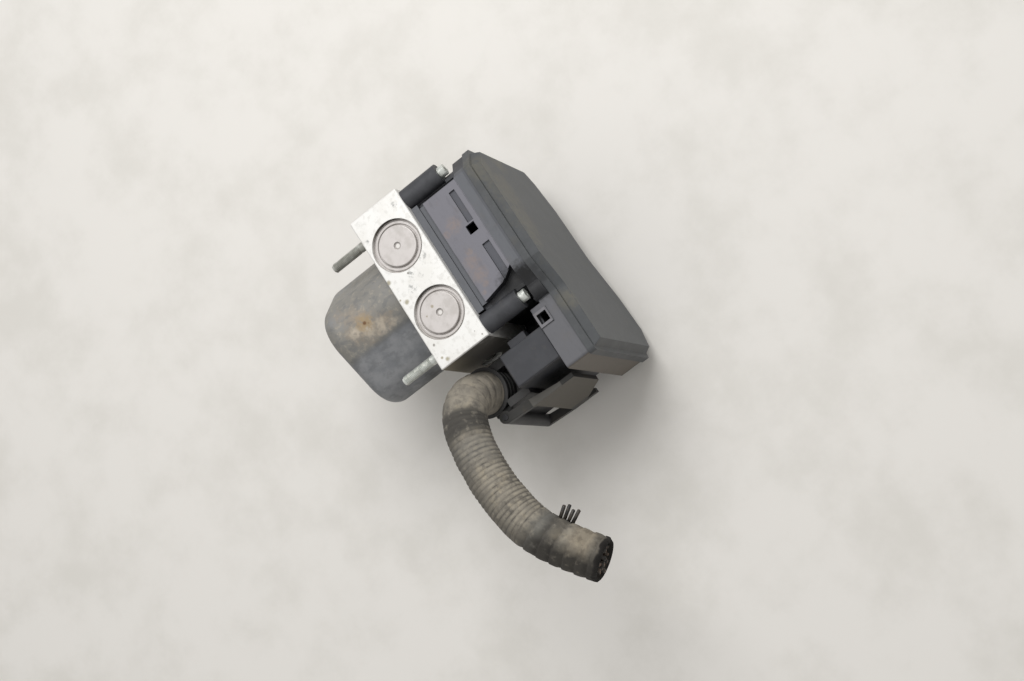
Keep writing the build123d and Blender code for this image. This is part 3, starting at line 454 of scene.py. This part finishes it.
def taped_conduit():
    """Corrugated nylon conduit under old cloth tape: matt olive-grey, with dark bands, pale crests and dark
    valleys that are partly wear and dirt and partly painted light, and painted shade on its flank and
    underside.
    """
    material, tree, place, shader = start("taped corrugated conduit")
    lay = add(tree, "ShaderNodeAttribute", attribute_name="lay").outputs["Vector"]
    split = add(tree, "ShaderNodeSeparateXYZ", {0: lay})
    along = split.outputs["X"]
    crest = split.outputs["Y"]
    base = over(tree, linear("6f6a61"), linear("5a5650"), patches(tree, place, 8, 0.4, 0.62))
    # Pale rib crests: partly wear, partly painted highlight.
    base = coat(tree, base, "968f81", crest, patches(tree, place, 5, 0.36, 0.6), 0.85)
    # Dark valleys between the ribs: partly dirt, partly painted shade.
    valley = add(tree, "ShaderNodeMapRange", {"Value": crest, "From Min": 0.35, "From Max": 0.0})
    dirty = times(tree, valley.outputs[0], patches(tree, place, 9, 0.28, 0.5), 0.62)
    base = coat(tree, base, "35312c", dirty)
    up = facing(tree, (0.15, 0.15, 0.97), 0.2, 0.95)
    dust = times(tree, up, patches(tree, place, 7, 0.4, 0.64))
    base = coat(tree, base, "968f82", dust, 0.55)
    clay = times(tree, up, patches(tree, place, 6, 0.5, 0.7))
    base = coat(tree, base, "a79c87", clay, 0.45)
    bare = times(tree, patches(tree, place, 14, 0.5, 0.66), 0.45)
    base = coat(tree, base, "5d5a55", bare)
    # Painted shade on one flank.
    flank = facing(tree, (-0.58, -0.81, 0.1), 0.1, 0.75)
    base = coat(tree, base, "54534f", flank, patches(tree, place, 12, 0.3, 0.55), 0.55)
    for starts, full, fades, ends, colour, strength in BANDS:
        enter = add(tree, "ShaderNodeMapRange", {"Value": along, "From Min": starts * MM,
                                                 "From Max": full * MM})
        leave = add(tree, "ShaderNodeMapRange", {"Value": along, "From Min": ends * MM,
                                                 "From Max": fades * MM})
        band = times(tree, enter.outputs[0], leave.outputs[0], patches(tree, place, 6, 0.22, 0.5), strength)
        base = coat(tree, base, colour, band)
    # Near the cut end, the low side is darkened: partly grime, partly painted shade.
    end_zone = add(tree, "ShaderNodeMapRange", {"Value": along, "From Min": 112 * MM, "From Max": 126 * MM})
    low_side = facing(tree, (0.55, -0.82, 0.0), -0.35, 0.3)
    grime = times(tree, end_zone.outputs[0], low_side, patches(tree, place, 4.5, 0.2, 0.48), 0.95)
    base = coat(tree, base, "1b1916", grime)
    shaded = times(tree, facing(tree, (0.2, -0.94, 0.22), 0.0, 0.8), patches(tree, place, 6, 0.2, 0.55), 0.5)
    base = coat(tree, base, "48443e", shaded)
    # Painted shade on the faces that look down.
    under = times(tree, facing(tree, (0, 0, -1), -0.2, 0.6), 0.6)
    base = coat(tree, base, "38342e", under)
    tip = add(tree, "ShaderNodeMapRange", {"Value": along, "From Min": 160.2 * MM, "From Max": 162.0 * MM})
    base = coat(tree, base, "1a1714", tip.outputs[0])
    feed(tree, shader, {"Base Color": base, "Roughness": 0.9,
                        "Normal": relief(tree, place, 1.0, 0.14, detail=5.0)})
    return material


def wire_skin(name, colour, dirty):
    """Extruded insulation: smooth and a little glossy under grime."""
    material, tree, place, shader = start(name)
    base = over(tree, linear(colour), linear(dirty), patches(tree, place, 3, 0.4, 0.62))
    feed(tree, shader, {"Base Color": base, "Roughness": 0.5, "Normal": relief(tree, place, 0.6, 0.02)})
    return material


# ---- shapes ----
def mesh_piece(name, mesh_maker, material_list, body="unit", smooth=True):
    """Makes an object from a bmesh that mesh_maker fills, and lets it ride on a body."""
    data = bpy.data.meshes.new(name)
    bm = bmesh.new()
    mesh_maker(bm)
    for face in bm.faces:
        face.smooth = smooth
    bm.to_mesh(data)
    bm.free()
    piece = bpy.data.objects.new(name, data)
    bpy.context.scene.collection.objects.link(piece)
    for material in material_list:
        data.materials.append(material)
    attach(piece, body)
    return piece


def cord_line(points):
    """The smooth centre line of a cord, read from the NURBS curve through its route."""
    data = bpy.data.curves.new("cord route", "CURVE")
    data.dimensions = "3D"
    data.resolution_u = 32
    spline = data.splines.new("NURBS")
    spline.points.add(len(points) - 1)
    for point, place in zip(spline.points, points):
        point.co = tuple(c * MM for c in place) + (1.0,)
    spline.order_u = 3
    spline.use_endpoint_u = True
    carrier = bpy.data.objects.new("cord route", data)
    mesh = bpy.data.meshes.new_from_object(carrier)
    line = [v.co.copy() for v in mesh.vertices]
    bpy.data.objects.remove(carrier)
    bpy.data.curves.remove(data)
    bpy.data.meshes.remove(mesh)
    return line


class Path:
    """A centre line that gives the place and the frame at any distance along it."""

    def __init__(self, line):
        self.line = line
        self.marks = [0.0]
        for a, b in zip(line, line[1:]):
            self.marks.append(self.marks[-1] + (b - a).length)
        self.length = self.marks[-1]
        side = Vector((0, 0, 1))
        self.frames = []
        for i in range(len(line)):
            ahead = (line[min(i + 1, len(line) - 1)] - line[max(i - 1, 0)]).normalized()
            side = (side - ahead * side.dot(ahead)).normalized()
            self.frames.append((ahead, side))

    def at(self, distance):
        """The place, the direction ahead and the direction to the side at a distance."""
        distance = min(max(distance, 0.0), self.length)
        last = len(self.marks) - 1
        i = next(k for k in range(1, last + 1) if self.marks[k] >= distance or k == last)
        step = self.marks[i] - self.marks[i - 1]
        t = (distance - self.marks[i - 1]) / step
        place = self.line[i - 1].lerp(self.line[i], t)
        ahead = self.frames[i - 1][0].lerp(self.frames[i][0], t).normalized()
        side = self.frames[i - 1][1].lerp(self.frames[i][1], t)
        side = (side - ahead * side.dot(ahead)).normalized()
        return place, ahead, side

    def matrix(self, distance, radius=1.0):
        """The matrix that takes a unit circle to a ring of this radius at a distance."""
        place, ahead, side = self.at(distance)
        cross = ahead.cross(side)
        turned = Matrix((side, cross, ahead)).transposed().to_4x4()
        return Matrix.Translation(place) @ turned @ Matrix.Diagonal((radius, radius, 1.0, 1.0))


def direction(inverse, vertex):
    """Where a vertex lies round its ring, rounded so that it can be looked up."""
    return tuple(round(c, 4) for c in (inverse @ vertex.co).to_2d().normalized())


def tube(bm, path, stations, segments, lay):
    """Draws a tube along a path by extruding one circle from station to station.

    A station is a distance, a radius and the height of the rib there, from 0 to 1. Distance and height go
    into the lay layer, which the finish reads."""
    made = bmesh.ops.create_circle(bm, segments=segments, radius=1.0, cap_ends=False)
    ring = list(made["verts"])
    edges = edges_within(bm, ring)
    old = Matrix.Identity(4)
    rings = []
    for distance, radius, crest in stations:
        if rings:
            grown = bmesh.ops.extrude_edge_only(bm, edges=edges)["geom"]
            edges = [g for g in grown if isinstance(g, bmesh.types.BMEdge)]
            fresh = [g for g in grown if isinstance(g, bmesh.types.BMVert)]
            # The new vertices come in no set order, so each is matched to the old one that it was made from.
            inverse = old.inverted()
            home = {direction(inverse, v): v for v in fresh}
            ring = [home[direction(inverse, v)] for v in ring]
        new = path.matrix(distance, radius)
        bmesh.ops.transform(bm, matrix=new @ old.inverted(), verts=ring)
        old = new
        rings.append(ring)
        for v in ring:
            v[lay] = (distance, crest, 0.0)
    return rings


def edges_within(bm, ring):
    """The edges that join two vertices of one ring."""
    return [e for e in bm.edges if e.verts[0] in ring and e.verts[1] in ring]


# ---- the conduit and its wires ----
# Lengths are in metres, and noise frequencies in waves for each metre.
ROUND = 64
STEPS_FOR_A_RIB = 6
RIB_ROUNDING = 0.7
RIB_FADE = 0.02
TAPED_CREST = 0.75
END_GAP = 0.0004
INNER_RINGS = (0.0, 0.002, 0.006, 0.0115)
COLLAR_BLEND = 0.003
WAVE_HEIGHT = 0.00045
WAVE_FREQUENCY = 90
WEAR_FREQUENCY = 38
WEAR_SHIFT = Vector((3.1, 0, 0))
WEAR_LOSS = 0.0001
MOST_WORN = 0.85
LAP_UNDER_RIBS = 0.004
LAP_LIFT = 0.0002
LAP_DROP = 0.0009
CLOTH_GRAIN = 0.0003
CLOTH_FREQUENCY = 260
TORN = 0.012
TEAR_DEPTH = 0.0022
TEAR_SPREAD = 0.0026


def conduit_stations(sizes, length):
    """The stations from the collar to the cut end and back inside, and how many are on the outside."""
    radius = sizes.diameter / 2
    end = length - END_GAP
    stations = []
    distance = 0.0
    while distance < end:
        if sizes.ribs_from <= distance <= sizes.ribs_to:
            phase = (distance - sizes.ribs_from) / sizes.rib_pitch
            crest = (0.5 - 0.5 * math.cos(2 * math.pi * phase)) ** RIB_ROUNDING
            fade = min(1.0, (sizes.ribs_to - distance) / RIB_FADE)
            sunk = sizes.rib_height * (1 - crest) * (0.55 + 0.45 * fade)
        else:
            crest = TAPED_CREST
            sunk = 0.25 * sizes.rib_height
        stations.append((distance, radius - sunk, crest))
        distance += sizes.rib_pitch / STEPS_FOR_A_RIB
    stations.append((end, radius - 0.3 * sizes.rib_height, 0.5))
    outer = len(stations)
    for back_by in INNER_RINGS:
        stations.append((end - back_by, radius - sizes.wall - 0.1 * back_by, 0.0))
    return stations, outer


def wear_conduit(path, sizes, stations, outer, rings):
    """Wears the ribs, lays the laps of the tape and tears the cut edge, all within the outside diameter."""
    radius = sizes.diameter / 2
    torn_from = path.length - TORN
    for k, ring in enumerate(rings):
        distance, plain, _ = stations[k]
        place, ahead, _ = path.at(distance)
        outside = k < outer
        ribbed = sizes.ribs_from <= distance <= sizes.ribs_to
        taped = outside and (distance < sizes.ribs_from or distance > sizes.ribs_to - LAP_UNDER_RIBS)
        for j, v in enumerate(ring):
            angle = 2 * math.pi * j / ROUND
            out = v.co - place
            out.normalize()
            lift = noise.noise(v.co * WAVE_FREQUENCY) * WAVE_HEIGHT
            if ribbed:
                worn = 0.5 + 0.9 * noise.noise(v.co * WEAR_FREQUENCY + WEAR_SHIFT)
                lift += (radius - plain) * min(max(worn, 0.0), MOST_WORN) - WEAR_LOSS
            if taped:
                lap = (distance / sizes.lap_pitch + angle / (2 * math.pi)) % 1.0
                lift += LAP_LIFT - LAP_DROP * lap ** 3
                lift += noise.noise(v.co * CLOTH_FREQUENCY) * CLOTH_GRAIN
            if outside and distance < COLLAR_BLEND:
                lift *= distance / COLLAR_BLEND
            v.co += out * min(lift, radius - plain if outside else 0.0)
            if outside and distance > torn_from:
                near = (distance - torn_from) / TORN
                tear = noise.noise(Vector((math.cos(angle), math.sin(angle), 0.3)) * 2.6)
                tear += 0.6 * noise.noise(Vector((math.cos(angle), math.sin(angle), 1.7)) * 7.0)
                v.co -= ahead * max(0.0, TEAR_DEPTH + TEAR_SPREAD * tear) * near ** 3


def wire_places(rng, room, count):
    """Places for the cut wires in the open end, none on another: centre and radius of each."""
    taken = []
    for _ in range(900):
        if len(taken) == count:
            break
        thick = rng.uniform(0.9, 1.7) * MM
        away = (room - thick - 0.4 * MM) * math.sqrt(rng.random())
        angle = rng.uniform(0, 2 * math.pi)
        spot = Vector((away * math.cos(angle), away * math.sin(angle), 0))
        if all((spot - s).length > thick + t for s, t in taken):
            taken.append((spot, thick))
    return taken


def wire_stub(bm, segments, radii, reach, matrix, ahead, skin, strand, inset):
    """One cut wire, whose strand stands half a millimetre out of its insulation."""
    made = bmesh.ops.create_cone(bm, cap_ends=True, segments=segments, radius1=radii[0], radius2=radii[1],
                                 depth=reach, matrix=matrix)
    verts = set(made["verts"])
    faces = [f for f in bm.faces if all(v in verts for v in f.verts)]
    for face in faces:
        face.material_index = skin
    ends = [f for f in faces if len(f.verts) > 4]
    top = max(ends, key=lambda f: f.calc_center_median().dot(ahead))
    bmesh.ops.inset_individual(bm, faces=[top], thickness=inset)
    top.material_index = strand
    bmesh.ops.translate(bm, verts=list(top.verts), vec=ahead * 0.5 * MM)


# ---- the studs ----
STUD_POINT = 0.0007
STUD_GAP = 0.0004
STUD_BEVEL = 0.0006
THREAD_ROOT = 0.8


def rod(bm, axis_x, radius, low_y, high_y, gap=0.0):
    """A round rod along Y, shorter by the gap."""
    middle = Matrix.Translation((axis_x, (low_y + high_y) / 2, 0))
    bmesh.ops.create_cone(bm, cap_ends=True, segments=32, radius1=radius, radius2=radius,
                          depth=high_y - low_y - gap, matrix=middle @ Matrix.Rotation(math.pi / 2, 4, "X"))


def threaded_stud(bm, axis_x, tip_y, face_y, sizes):
    """One stud from its tip to the block: a spun thread, the core inside it and the plain shank."""
    turns = int(sizes.thread / sizes.pitch)
    start_y = tip_y + STUD_POINT
    root = sizes.radius * THREAD_ROOT
    profile = [bm.verts.new((axis_x + r, y, 0.0)) for r, y in (
        (root, start_y), (sizes.radius, start_y + sizes.pitch * 0.4),
        (sizes.radius, start_y + sizes.pitch * 0.6), (root, start_y + sizes.pitch))]
    edges = [bm.edges.new(pair) for pair in zip(profile, profile[1:])]
    bmesh.ops.spin(bm, geom=profile + edges, cent=(axis_x, 0, 0), axis=(0, 1, 0),
                   dvec=(0, sizes.pitch / 20, 0), angle=2 * math.pi * turns, steps=20 * turns)
    rod(bm, axis_x, root, tip_y, face_y, STUD_GAP)
    caps = [f for f in bm.faces if len(f.verts) > 20 and abs(f.calc_center_median().x - axis_x) < 0.001]
    tip_face = min(caps, key=lambda f: f.calc_center_median().y)
    bmesh.ops.bevel(bm, geom=list(tip_face.edges), offset=STUD_BEVEL, offset_type="OFFSET", segments=2,
                    profile=0.5, affect="EDGES", material=-1)
    rod(bm, axis_x, sizes.radius, start_y + sizes.pitch * (turns + 1), face_y)


# ---- the stage ----
CAMERA_PLACE = (0.3671, 0.3535, 1.0621)
CAMERA_TURN, CAMERA_LIFT, CAMERA_ROLL = (math.radians(v) for v in (135.54, 67.69, -80.65))
SENSOR_WIDTH = 36.0
FOCAL_LENGTH = 1963.5 / 1024  # in widths of the view
LAMP_SIZE = 0.8
LAMP_DISTANCE = 1.1
LAMP_AIM = Vector((0.04, 0.02, -0.04))
FLOOR_REACH = 6.0
FLOOR_GAP = 0.0002


def camera_axes():
    """The camera's right, up and back, from its turn about Z, its lift over the floor and its roll."""
    east, north = math.cos(CAMERA_TURN), math.sin(CAMERA_TURN)
    back = Vector((north * math.cos(CAMERA_LIFT), -east * math.cos(CAMERA_LIFT), math.sin(CAMERA_LIFT)))
    level = Vector((east, north, 0.0))
    rise = level.cross(-back)
    right = level * math.cos(CAMERA_ROLL) + rise * math.sin(CAMERA_ROLL)
    up = rise * math.cos(CAMERA_ROLL) - level * math.sin(CAMERA_ROLL)
    return right, up, back


def lay_floor(scene, settings):
    """A plain painted floor just under the lowest node."""
    ground = min(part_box(name)[0][2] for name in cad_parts)
    material, tree, place, shader = start("matt painted floor")
    shade = over(tree, tuple(settings.floor), linear("d3d0ca"), patches(tree, place, 60, 0.4, 0.7))
    feed(tree, shader, {"Base Color": shade, "Roughness": 0.75})
    data = bpy.data.meshes.new("floor")
    bm = bmesh.new()
    bmesh.ops.create_grid(bm, x_segments=2, y_segments=2, size=FLOOR_REACH,
                          matrix=Matrix.Translation((0, 0, ground - FLOOR_GAP)))
    bm.to_mesh(data)
    bm.free()
    floor = bpy.data.objects.new("floor", data)
    scene.collection.objects.link(floor)
    data.materials.append(material)


def set_sky(scene, settings):
    """An even sky, brighter where the camera sees it than where it lights the part."""
    world = bpy.data.worlds.new("even sky")
    scene.world = world
    world.use_nodes = True
    sky = world.node_tree
    sky.nodes.clear()
    ray = add(sky, "ShaderNodeLightPath")
    seen = add(sky, "ShaderNodeMath", {0: ray.outputs["Is Camera Ray"], 1: 0.9, 2: settings.sky},
               operation="MULTIPLY_ADD")
    glow = add(sky, "ShaderNodeBackground", {"Color": linear("fbfaf8"), "Strength": seen.outputs[0]})
    add(sky, "ShaderNodeOutputWorld", {"Surface": glow.outputs[0]})


# ---- settings ----
class HarnessSizes(bpy.types.PropertyGroup):
    """Sizes of the conduit, its ribs, its tape and its wires"""
    diameter: bpy.props.FloatProperty(name="Diameter", description="Outside diameter of the conduit",
                                      default=26.8 * MM, subtype="DISTANCE", unit="LENGTH")
    rib_pitch: bpy.props.FloatProperty(name="Rib pitch", description="Distance from one rib to the next",
                                       default=3.0 * MM, subtype="DISTANCE", unit="LENGTH")
    rib_height: bpy.props.FloatProperty(name="Rib height", description="Height of a rib over its groove",
                                        default=0.6 * MM, subtype="DISTANCE", unit="LENGTH")
    lap_pitch: bpy.props.FloatProperty(name="Tape lap",
                                       description="Distance from one turn of tape to the next",
                                       default=7.5 * MM, subtype="DISTANCE", unit="LENGTH")
    ribs_from: bpy.props.FloatProperty(name="Ribs from",
                                       description="Where the bare ribs start along the conduit",
                                       default=42 * MM, subtype="DISTANCE", unit="LENGTH")
    ribs_to: bpy.props.FloatProperty(name="Ribs to", description="Where the tape at the cut end starts",
                                     default=116 * MM, subtype="DISTANCE", unit="LENGTH")
    wall: bpy.props.FloatProperty(name="Wall", description="Wall of conduit and tape together",
                                  default=1.6 * MM, subtype="DISTANCE", unit="LENGTH")
    wire_count: bpy.props.IntProperty(name="Wires", description="Cut wires in the open end", default=22)
    branch_at: bpy.props.FloatProperty(name="Branch at",
                                       description="Where the cut branch leaves the conduit",
                                       default=133 * MM, subtype="DISTANCE", unit="LENGTH")


class StudSizes(bpy.types.PropertyGroup):
    """Sizes of the two mounting studs"""
    radius: bpy.props.FloatProperty(name="Radius", description="Outside radius of the thread",
                                    default=3 * MM, subtype="DISTANCE", unit="LENGTH")
    pitch: bpy.props.FloatProperty(name="Pitch", description="Thread pitch", default=1 * MM,
                                   subtype="DISTANCE", unit="LENGTH")
    thread: bpy.props.FloatProperty(name="Thread", description="Length of the thread from the tip",
                                    default=21 * MM, subtype="DISTANCE", unit="LENGTH")


class StageSettings(bpy.types.PropertyGroup):
    """Colour of the floor and strength of the light"""
    floor: bpy.props.FloatVectorProperty(name="Floor", description="Colour of the floor", size=4,
                                         default=linear("dcd9d4"), subtype="COLOR", min=0, max=1)
    key: bpy.props.FloatProperty(name="Key light", description="Power of the large lamp", default=9.0,
                                 unit="POWER")
    sky: bpy.props.FloatProperty(name="Sky", description="Strength of the even light", default=0.62)


# ---- operators ----
class BRAKE_OT_stage(bpy.types.Operator):
    """Lays the floor and sets the lights and the camera"""
    bl_idname = "brake.stage"
    bl_label = "Stage"

    def execute(self, context):
        settings = context.scene.brake_stage
        scene = context.scene
        scene.view_settings.view_transform = "Standard"
        lay_floor(scene, settings)
        right, up, back = camera_axes()
        lens = bpy.data.cameras.new("camera")
        lens.sensor_fit = "HORIZONTAL"
        lens.sensor_width = SENSOR_WIDTH
        lens.lens = SENSOR_WIDTH * FOCAL_LENGTH
        lens.clip_start = 0.05
        camera = bpy.data.objects.new("camera", lens)
        turned = Matrix((right, up, back)).transposed().to_4x4()
        camera.matrix_world = Matrix.Translation(CAMERA_PLACE) @ turned
        scene.collection.objects.link(camera)
        scene.camera = camera

        lamp = bpy.data.lights.new("soft lamp", "AREA")
        lamp.shape = "DISK"
        lamp.size = LAMP_SIZE
        lamp.energy = settings.key
        toward = (back * 0.8 - right * 0.42 + up * 0.62).normalized()
        aimed = toward.to_track_quat("Z", "Y").to_matrix().to_4x4()
        light = bpy.data.objects.new("soft lamp", lamp)
        light.matrix_world = Matrix.Translation(LAMP_AIM + toward * LAMP_DISTANCE) @ aimed
        scene.collection.objects.link(light)
        set_sky(scene, settings)
        return {"FINISHED"}


class BRAKE_OT_harness(bpy.types.Operator):
    """Makes the taped conduit with its ribs, its ragged cut end and its cut wires"""
    bl_idname = "brake.harness"
    bl_label = "Harness"

    def execute(self, context):
        sizes = context.scene.brake_harness
        path = Path(cord_line(HARNESS_ROUTE))
        radius = sizes.diameter / 2
        rng = random.Random(7)
        stations, outer = conduit_stations(sizes, path.length)

        def fill(bm):
            lay = bm.verts.layers.float_vector.new("lay")
            rings = tube(bm, path, stations, ROUND, lay)
            wear_conduit(path, sizes, stations, outer, rings)
            for end in (rings[-1], rings[0]):
                bmesh.ops.contextual_create(bm, geom=edges_within(bm, end))
            bmesh.ops.recalc_face_normals(bm, faces=bm.faces)

        conduit = mesh_piece("taped_conduit", fill, [taped_conduit()])
        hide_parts("harness_conduit")

        black = wire_skin("PVC wire insulation, black", "1b1a19", "3a342c")
        other = wire_skin("PVC wire insulation, brown", "3b2a20", "4a4034")
        copper = plain_part("tarnished cut copper", "6d4d3a", "47372c", 0.6, 0.5, 1.0)
        tip = path.matrix(path.length - 0.004)

        def cut_ends(bm):
            ahead = tip.to_3x3().col[2].normalized()
            for spot, thick in wire_places(rng, radius - sizes.wall, sizes.wire_count):
                lean = Matrix.Rotation(rng.uniform(-0.2, 0.2), 4, "X")
                lean = lean @ Matrix.Rotation(rng.uniform(-0.2, 0.2), 4, "Y")
                reach = rng.uniform(7.2, 11.4) * MM
                foot = Matrix.Translation((0, 0, reach / 2 - 7.0 * MM))
                wire_stub(bm, 10, (thick, thick), reach, tip @ Matrix.Translation(spot) @ lean @ foot, ahead,
                          rng.choice((0, 0, 0, 1)), 2, 0.4 * thick)

        wires = mesh_piece("cut_wires", cut_ends, [black, other, copper])
        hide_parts("harness_wires")

        def branch(bm):
            place, ahead, _ = path.at(sizes.branch_at)
            out = Vector((-0.52, 0.78, -0.08))
            out = (out - ahead * out.dot(ahead) * 0.4).normalized()
            row = ahead.cross(out).cross(out).normalized()
            for k, long in enumerate((9.0, 10.5, 8.8, 10.0)):
                lean = (out + ahead * (0.06 * k - 0.08) + Vector((0, 0, 0.04 * (k % 2)))).normalized()
                foot = place + out * (radius - 2.2 * MM) + row * (k - 1.5) * -2.5 * MM
                reach = long * MM
                turned = lean.to_track_quat("Z", "Y").to_matrix().to_4x4()
                wire_stub(bm, 12, (1.15 * MM, 1.1 * MM), reach,
                          Matrix.Translation(foot + lean * reach / 2) @ turned, lean, 0, 1, 0.5 * MM)

        stubs = mesh_piece("branch_wires", branch, [black, copper])
        return {"FINISHED"}


class BRAKE_OT_studs(bpy.types.Operator):
    """Makes the two studs with their thread"""
    bl_idname = "brake.studs"
    bl_label = "Studs"

    def execute(self, context):
        sizes = context.scene.brake_studs
        low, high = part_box("mounting_studs")
        middle = high[0] - sizes.radius

        def fill(bm):
            for side in (-1, 1):
                threaded_stud(bm, side * middle, low[1], high[1], sizes)
            bmesh.ops.remove_doubles(bm, verts=bm.verts, dist=0.00001)
            bmesh.ops.recalc_face_normals(bm, faces=bm.faces)

        studs = mesh_piece("threaded_studs", fill, [zinc_plate("zinc plated stud steel", 0.28)], smooth=False)
        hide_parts("mounting_studs")
        return {"FINISHED"}


class BRAKE_OT_finishes(bpy.types.Operator):
    """Gives each carried-over node its finish"""
    bl_idname = "brake.finishes"
    bl_label = "Finishes"

    def execute(self, context):
        bright = zinc_plate()
        ground = plain_part("ground bearing steel", "b5b6b8", "9a9b9e", 0.9, 0.3, 4)
        brass = plain_part("turned brass", "b99a55", "a08447", 0.9, 0.35, 4)
        rubber = plain_part("moulded rubber seal", "1a1a1a", "262524", 0.0, 0.7, 3)
        finishes = {
            "valve_block": milled_aluminium(),
            "accumulator_cap": pressed_cap(),
            "motor_can": passivated_can(),
            "motor_end_plate": bright, "motor_screws": bright,
            "lever_pin": plain_part("moulded nylon pin", "2c2c2e", "38383a", 0.0, 0.5, 3),
            "ecu_upper_screws": zinc_plate("zinc plated screw steel", 0.22), "ecu_lower_screws": bright,
            "pump_plug": plain_part("zinc plated plug steel", "b9bab6", "989a93", 0.85, 0.35, 5),
            "ecu_housing": housing_nylon(),
            "ecu_lid": lid_nylon(),
            "plug_body": plug_nylon(),
            "plug_cover": plug_cover_nylon(),
            "plug_lever": lever_nylon(),
            "connector_pins": brass, "accumulator_piston": brass, "motor_rear_bush": brass,
            "accumulator_spring": ground, "pump_spring": ground,
            "motor_front_bearing": ground, "motor_shaft": ground, "eccentric_ring": ground,
            "pump_cylinder": ground, "pump_piston": ground, "inlet_valves": ground, "outlet_valves": ground,
            "armature_core": plain_part("stacked core steel", "6a6a6c", "55555a", 0.8, 0.4, 2),
            "armature_winding": plain_part("enamelled copper wire", "a35a35", "8b4526", 0.7, 0.35, 1.5),
            "commutator": plain_part("turned copper", "b87446", "9a5d36", 0.9, 0.35, 2),
            "motor_magnets": plain_part("sintered ferrite", "2d2d2f", "3a3a3c", 0.1, 0.7, 3),
            "motor_brushes": plain_part("pressed carbon", "1c1c1d", "29292a", 0.1, 0.6, 2),
            "brush_holder": plain_part("moulded phenolic", "241e19", "33291f", 0.0, 0.5, 4),
            "solenoid_coils": plain_part("overmoulded coil nylon", "1f2320", "2b302c", 0.0, 0.5, 5),
            "circuit_board": plain_part("lacquered glass laminate", "1f5236", "26613f", 0.0, 0.35, 6),
            "board_components": plain_part("moulded chip resin", "171717", "232323", 0.0, 0.55, 3),
            "ecu_seal": rubber, "accumulator_seal": rubber,
        }
        for node_name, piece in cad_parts.items():
            fits = [key for key in finishes if node_name.startswith(key)]
            if not fits and node_name not in ("harness_conduit", "harness_wires", "mounting_studs"):
                raise RuntimeError("no finish for " + node_name)
            if fits:
                piece.data.materials.clear()
                piece.data.materials.append(finishes[max(fits, key=len)])
        return {"FINISHED"}


class BRAKE_PT_panel(bpy.types.Panel):
    bl_label = "Brake module"
    bl_idname = "BRAKE_PT_panel"
    bl_space_type = "VIEW_3D"
    bl_region_type = "UI"
    bl_category = "Brake module"

    def draw(self, context):
        for settings in (context.scene.brake_harness, context.scene.brake_studs, context.scene.brake_stage):
            column = self.layout.column()
            for name in settings.__annotations__:
                column.prop(settings, name)
        for kind in STEPS:
            self.layout.operator(kind.bl_idname)


STEPS = (BRAKE_OT_harness, BRAKE_OT_studs, BRAKE_OT_finishes, BRAKE_OT_stage)
GROUPS = {"brake_harness": HarnessSizes, "brake_studs": StudSizes, "brake_stage": StageSettings}


def register():
    for kind in (*GROUPS.values(), *STEPS, BRAKE_PT_panel):
        bpy.utils.register_class(kind)
    for name, group in GROUPS.items():
        setattr(bpy.types.Scene, name, bpy.props.PointerProperty(type=group))


def unregister():
    for name in GROUPS:
        delattr(bpy.types.Scene, name)
    for kind in reversed((*GROUPS.values(), *STEPS, BRAKE_PT_panel)):
        bpy.utils.unregister_class(kind)


def main():
    register()
    bpy.ops.brake.harness()
    bpy.ops.brake.studs()
    bpy.ops.brake.finishes()
    bpy.ops.brake.stage()


if __name__ == "__main__":
    main()
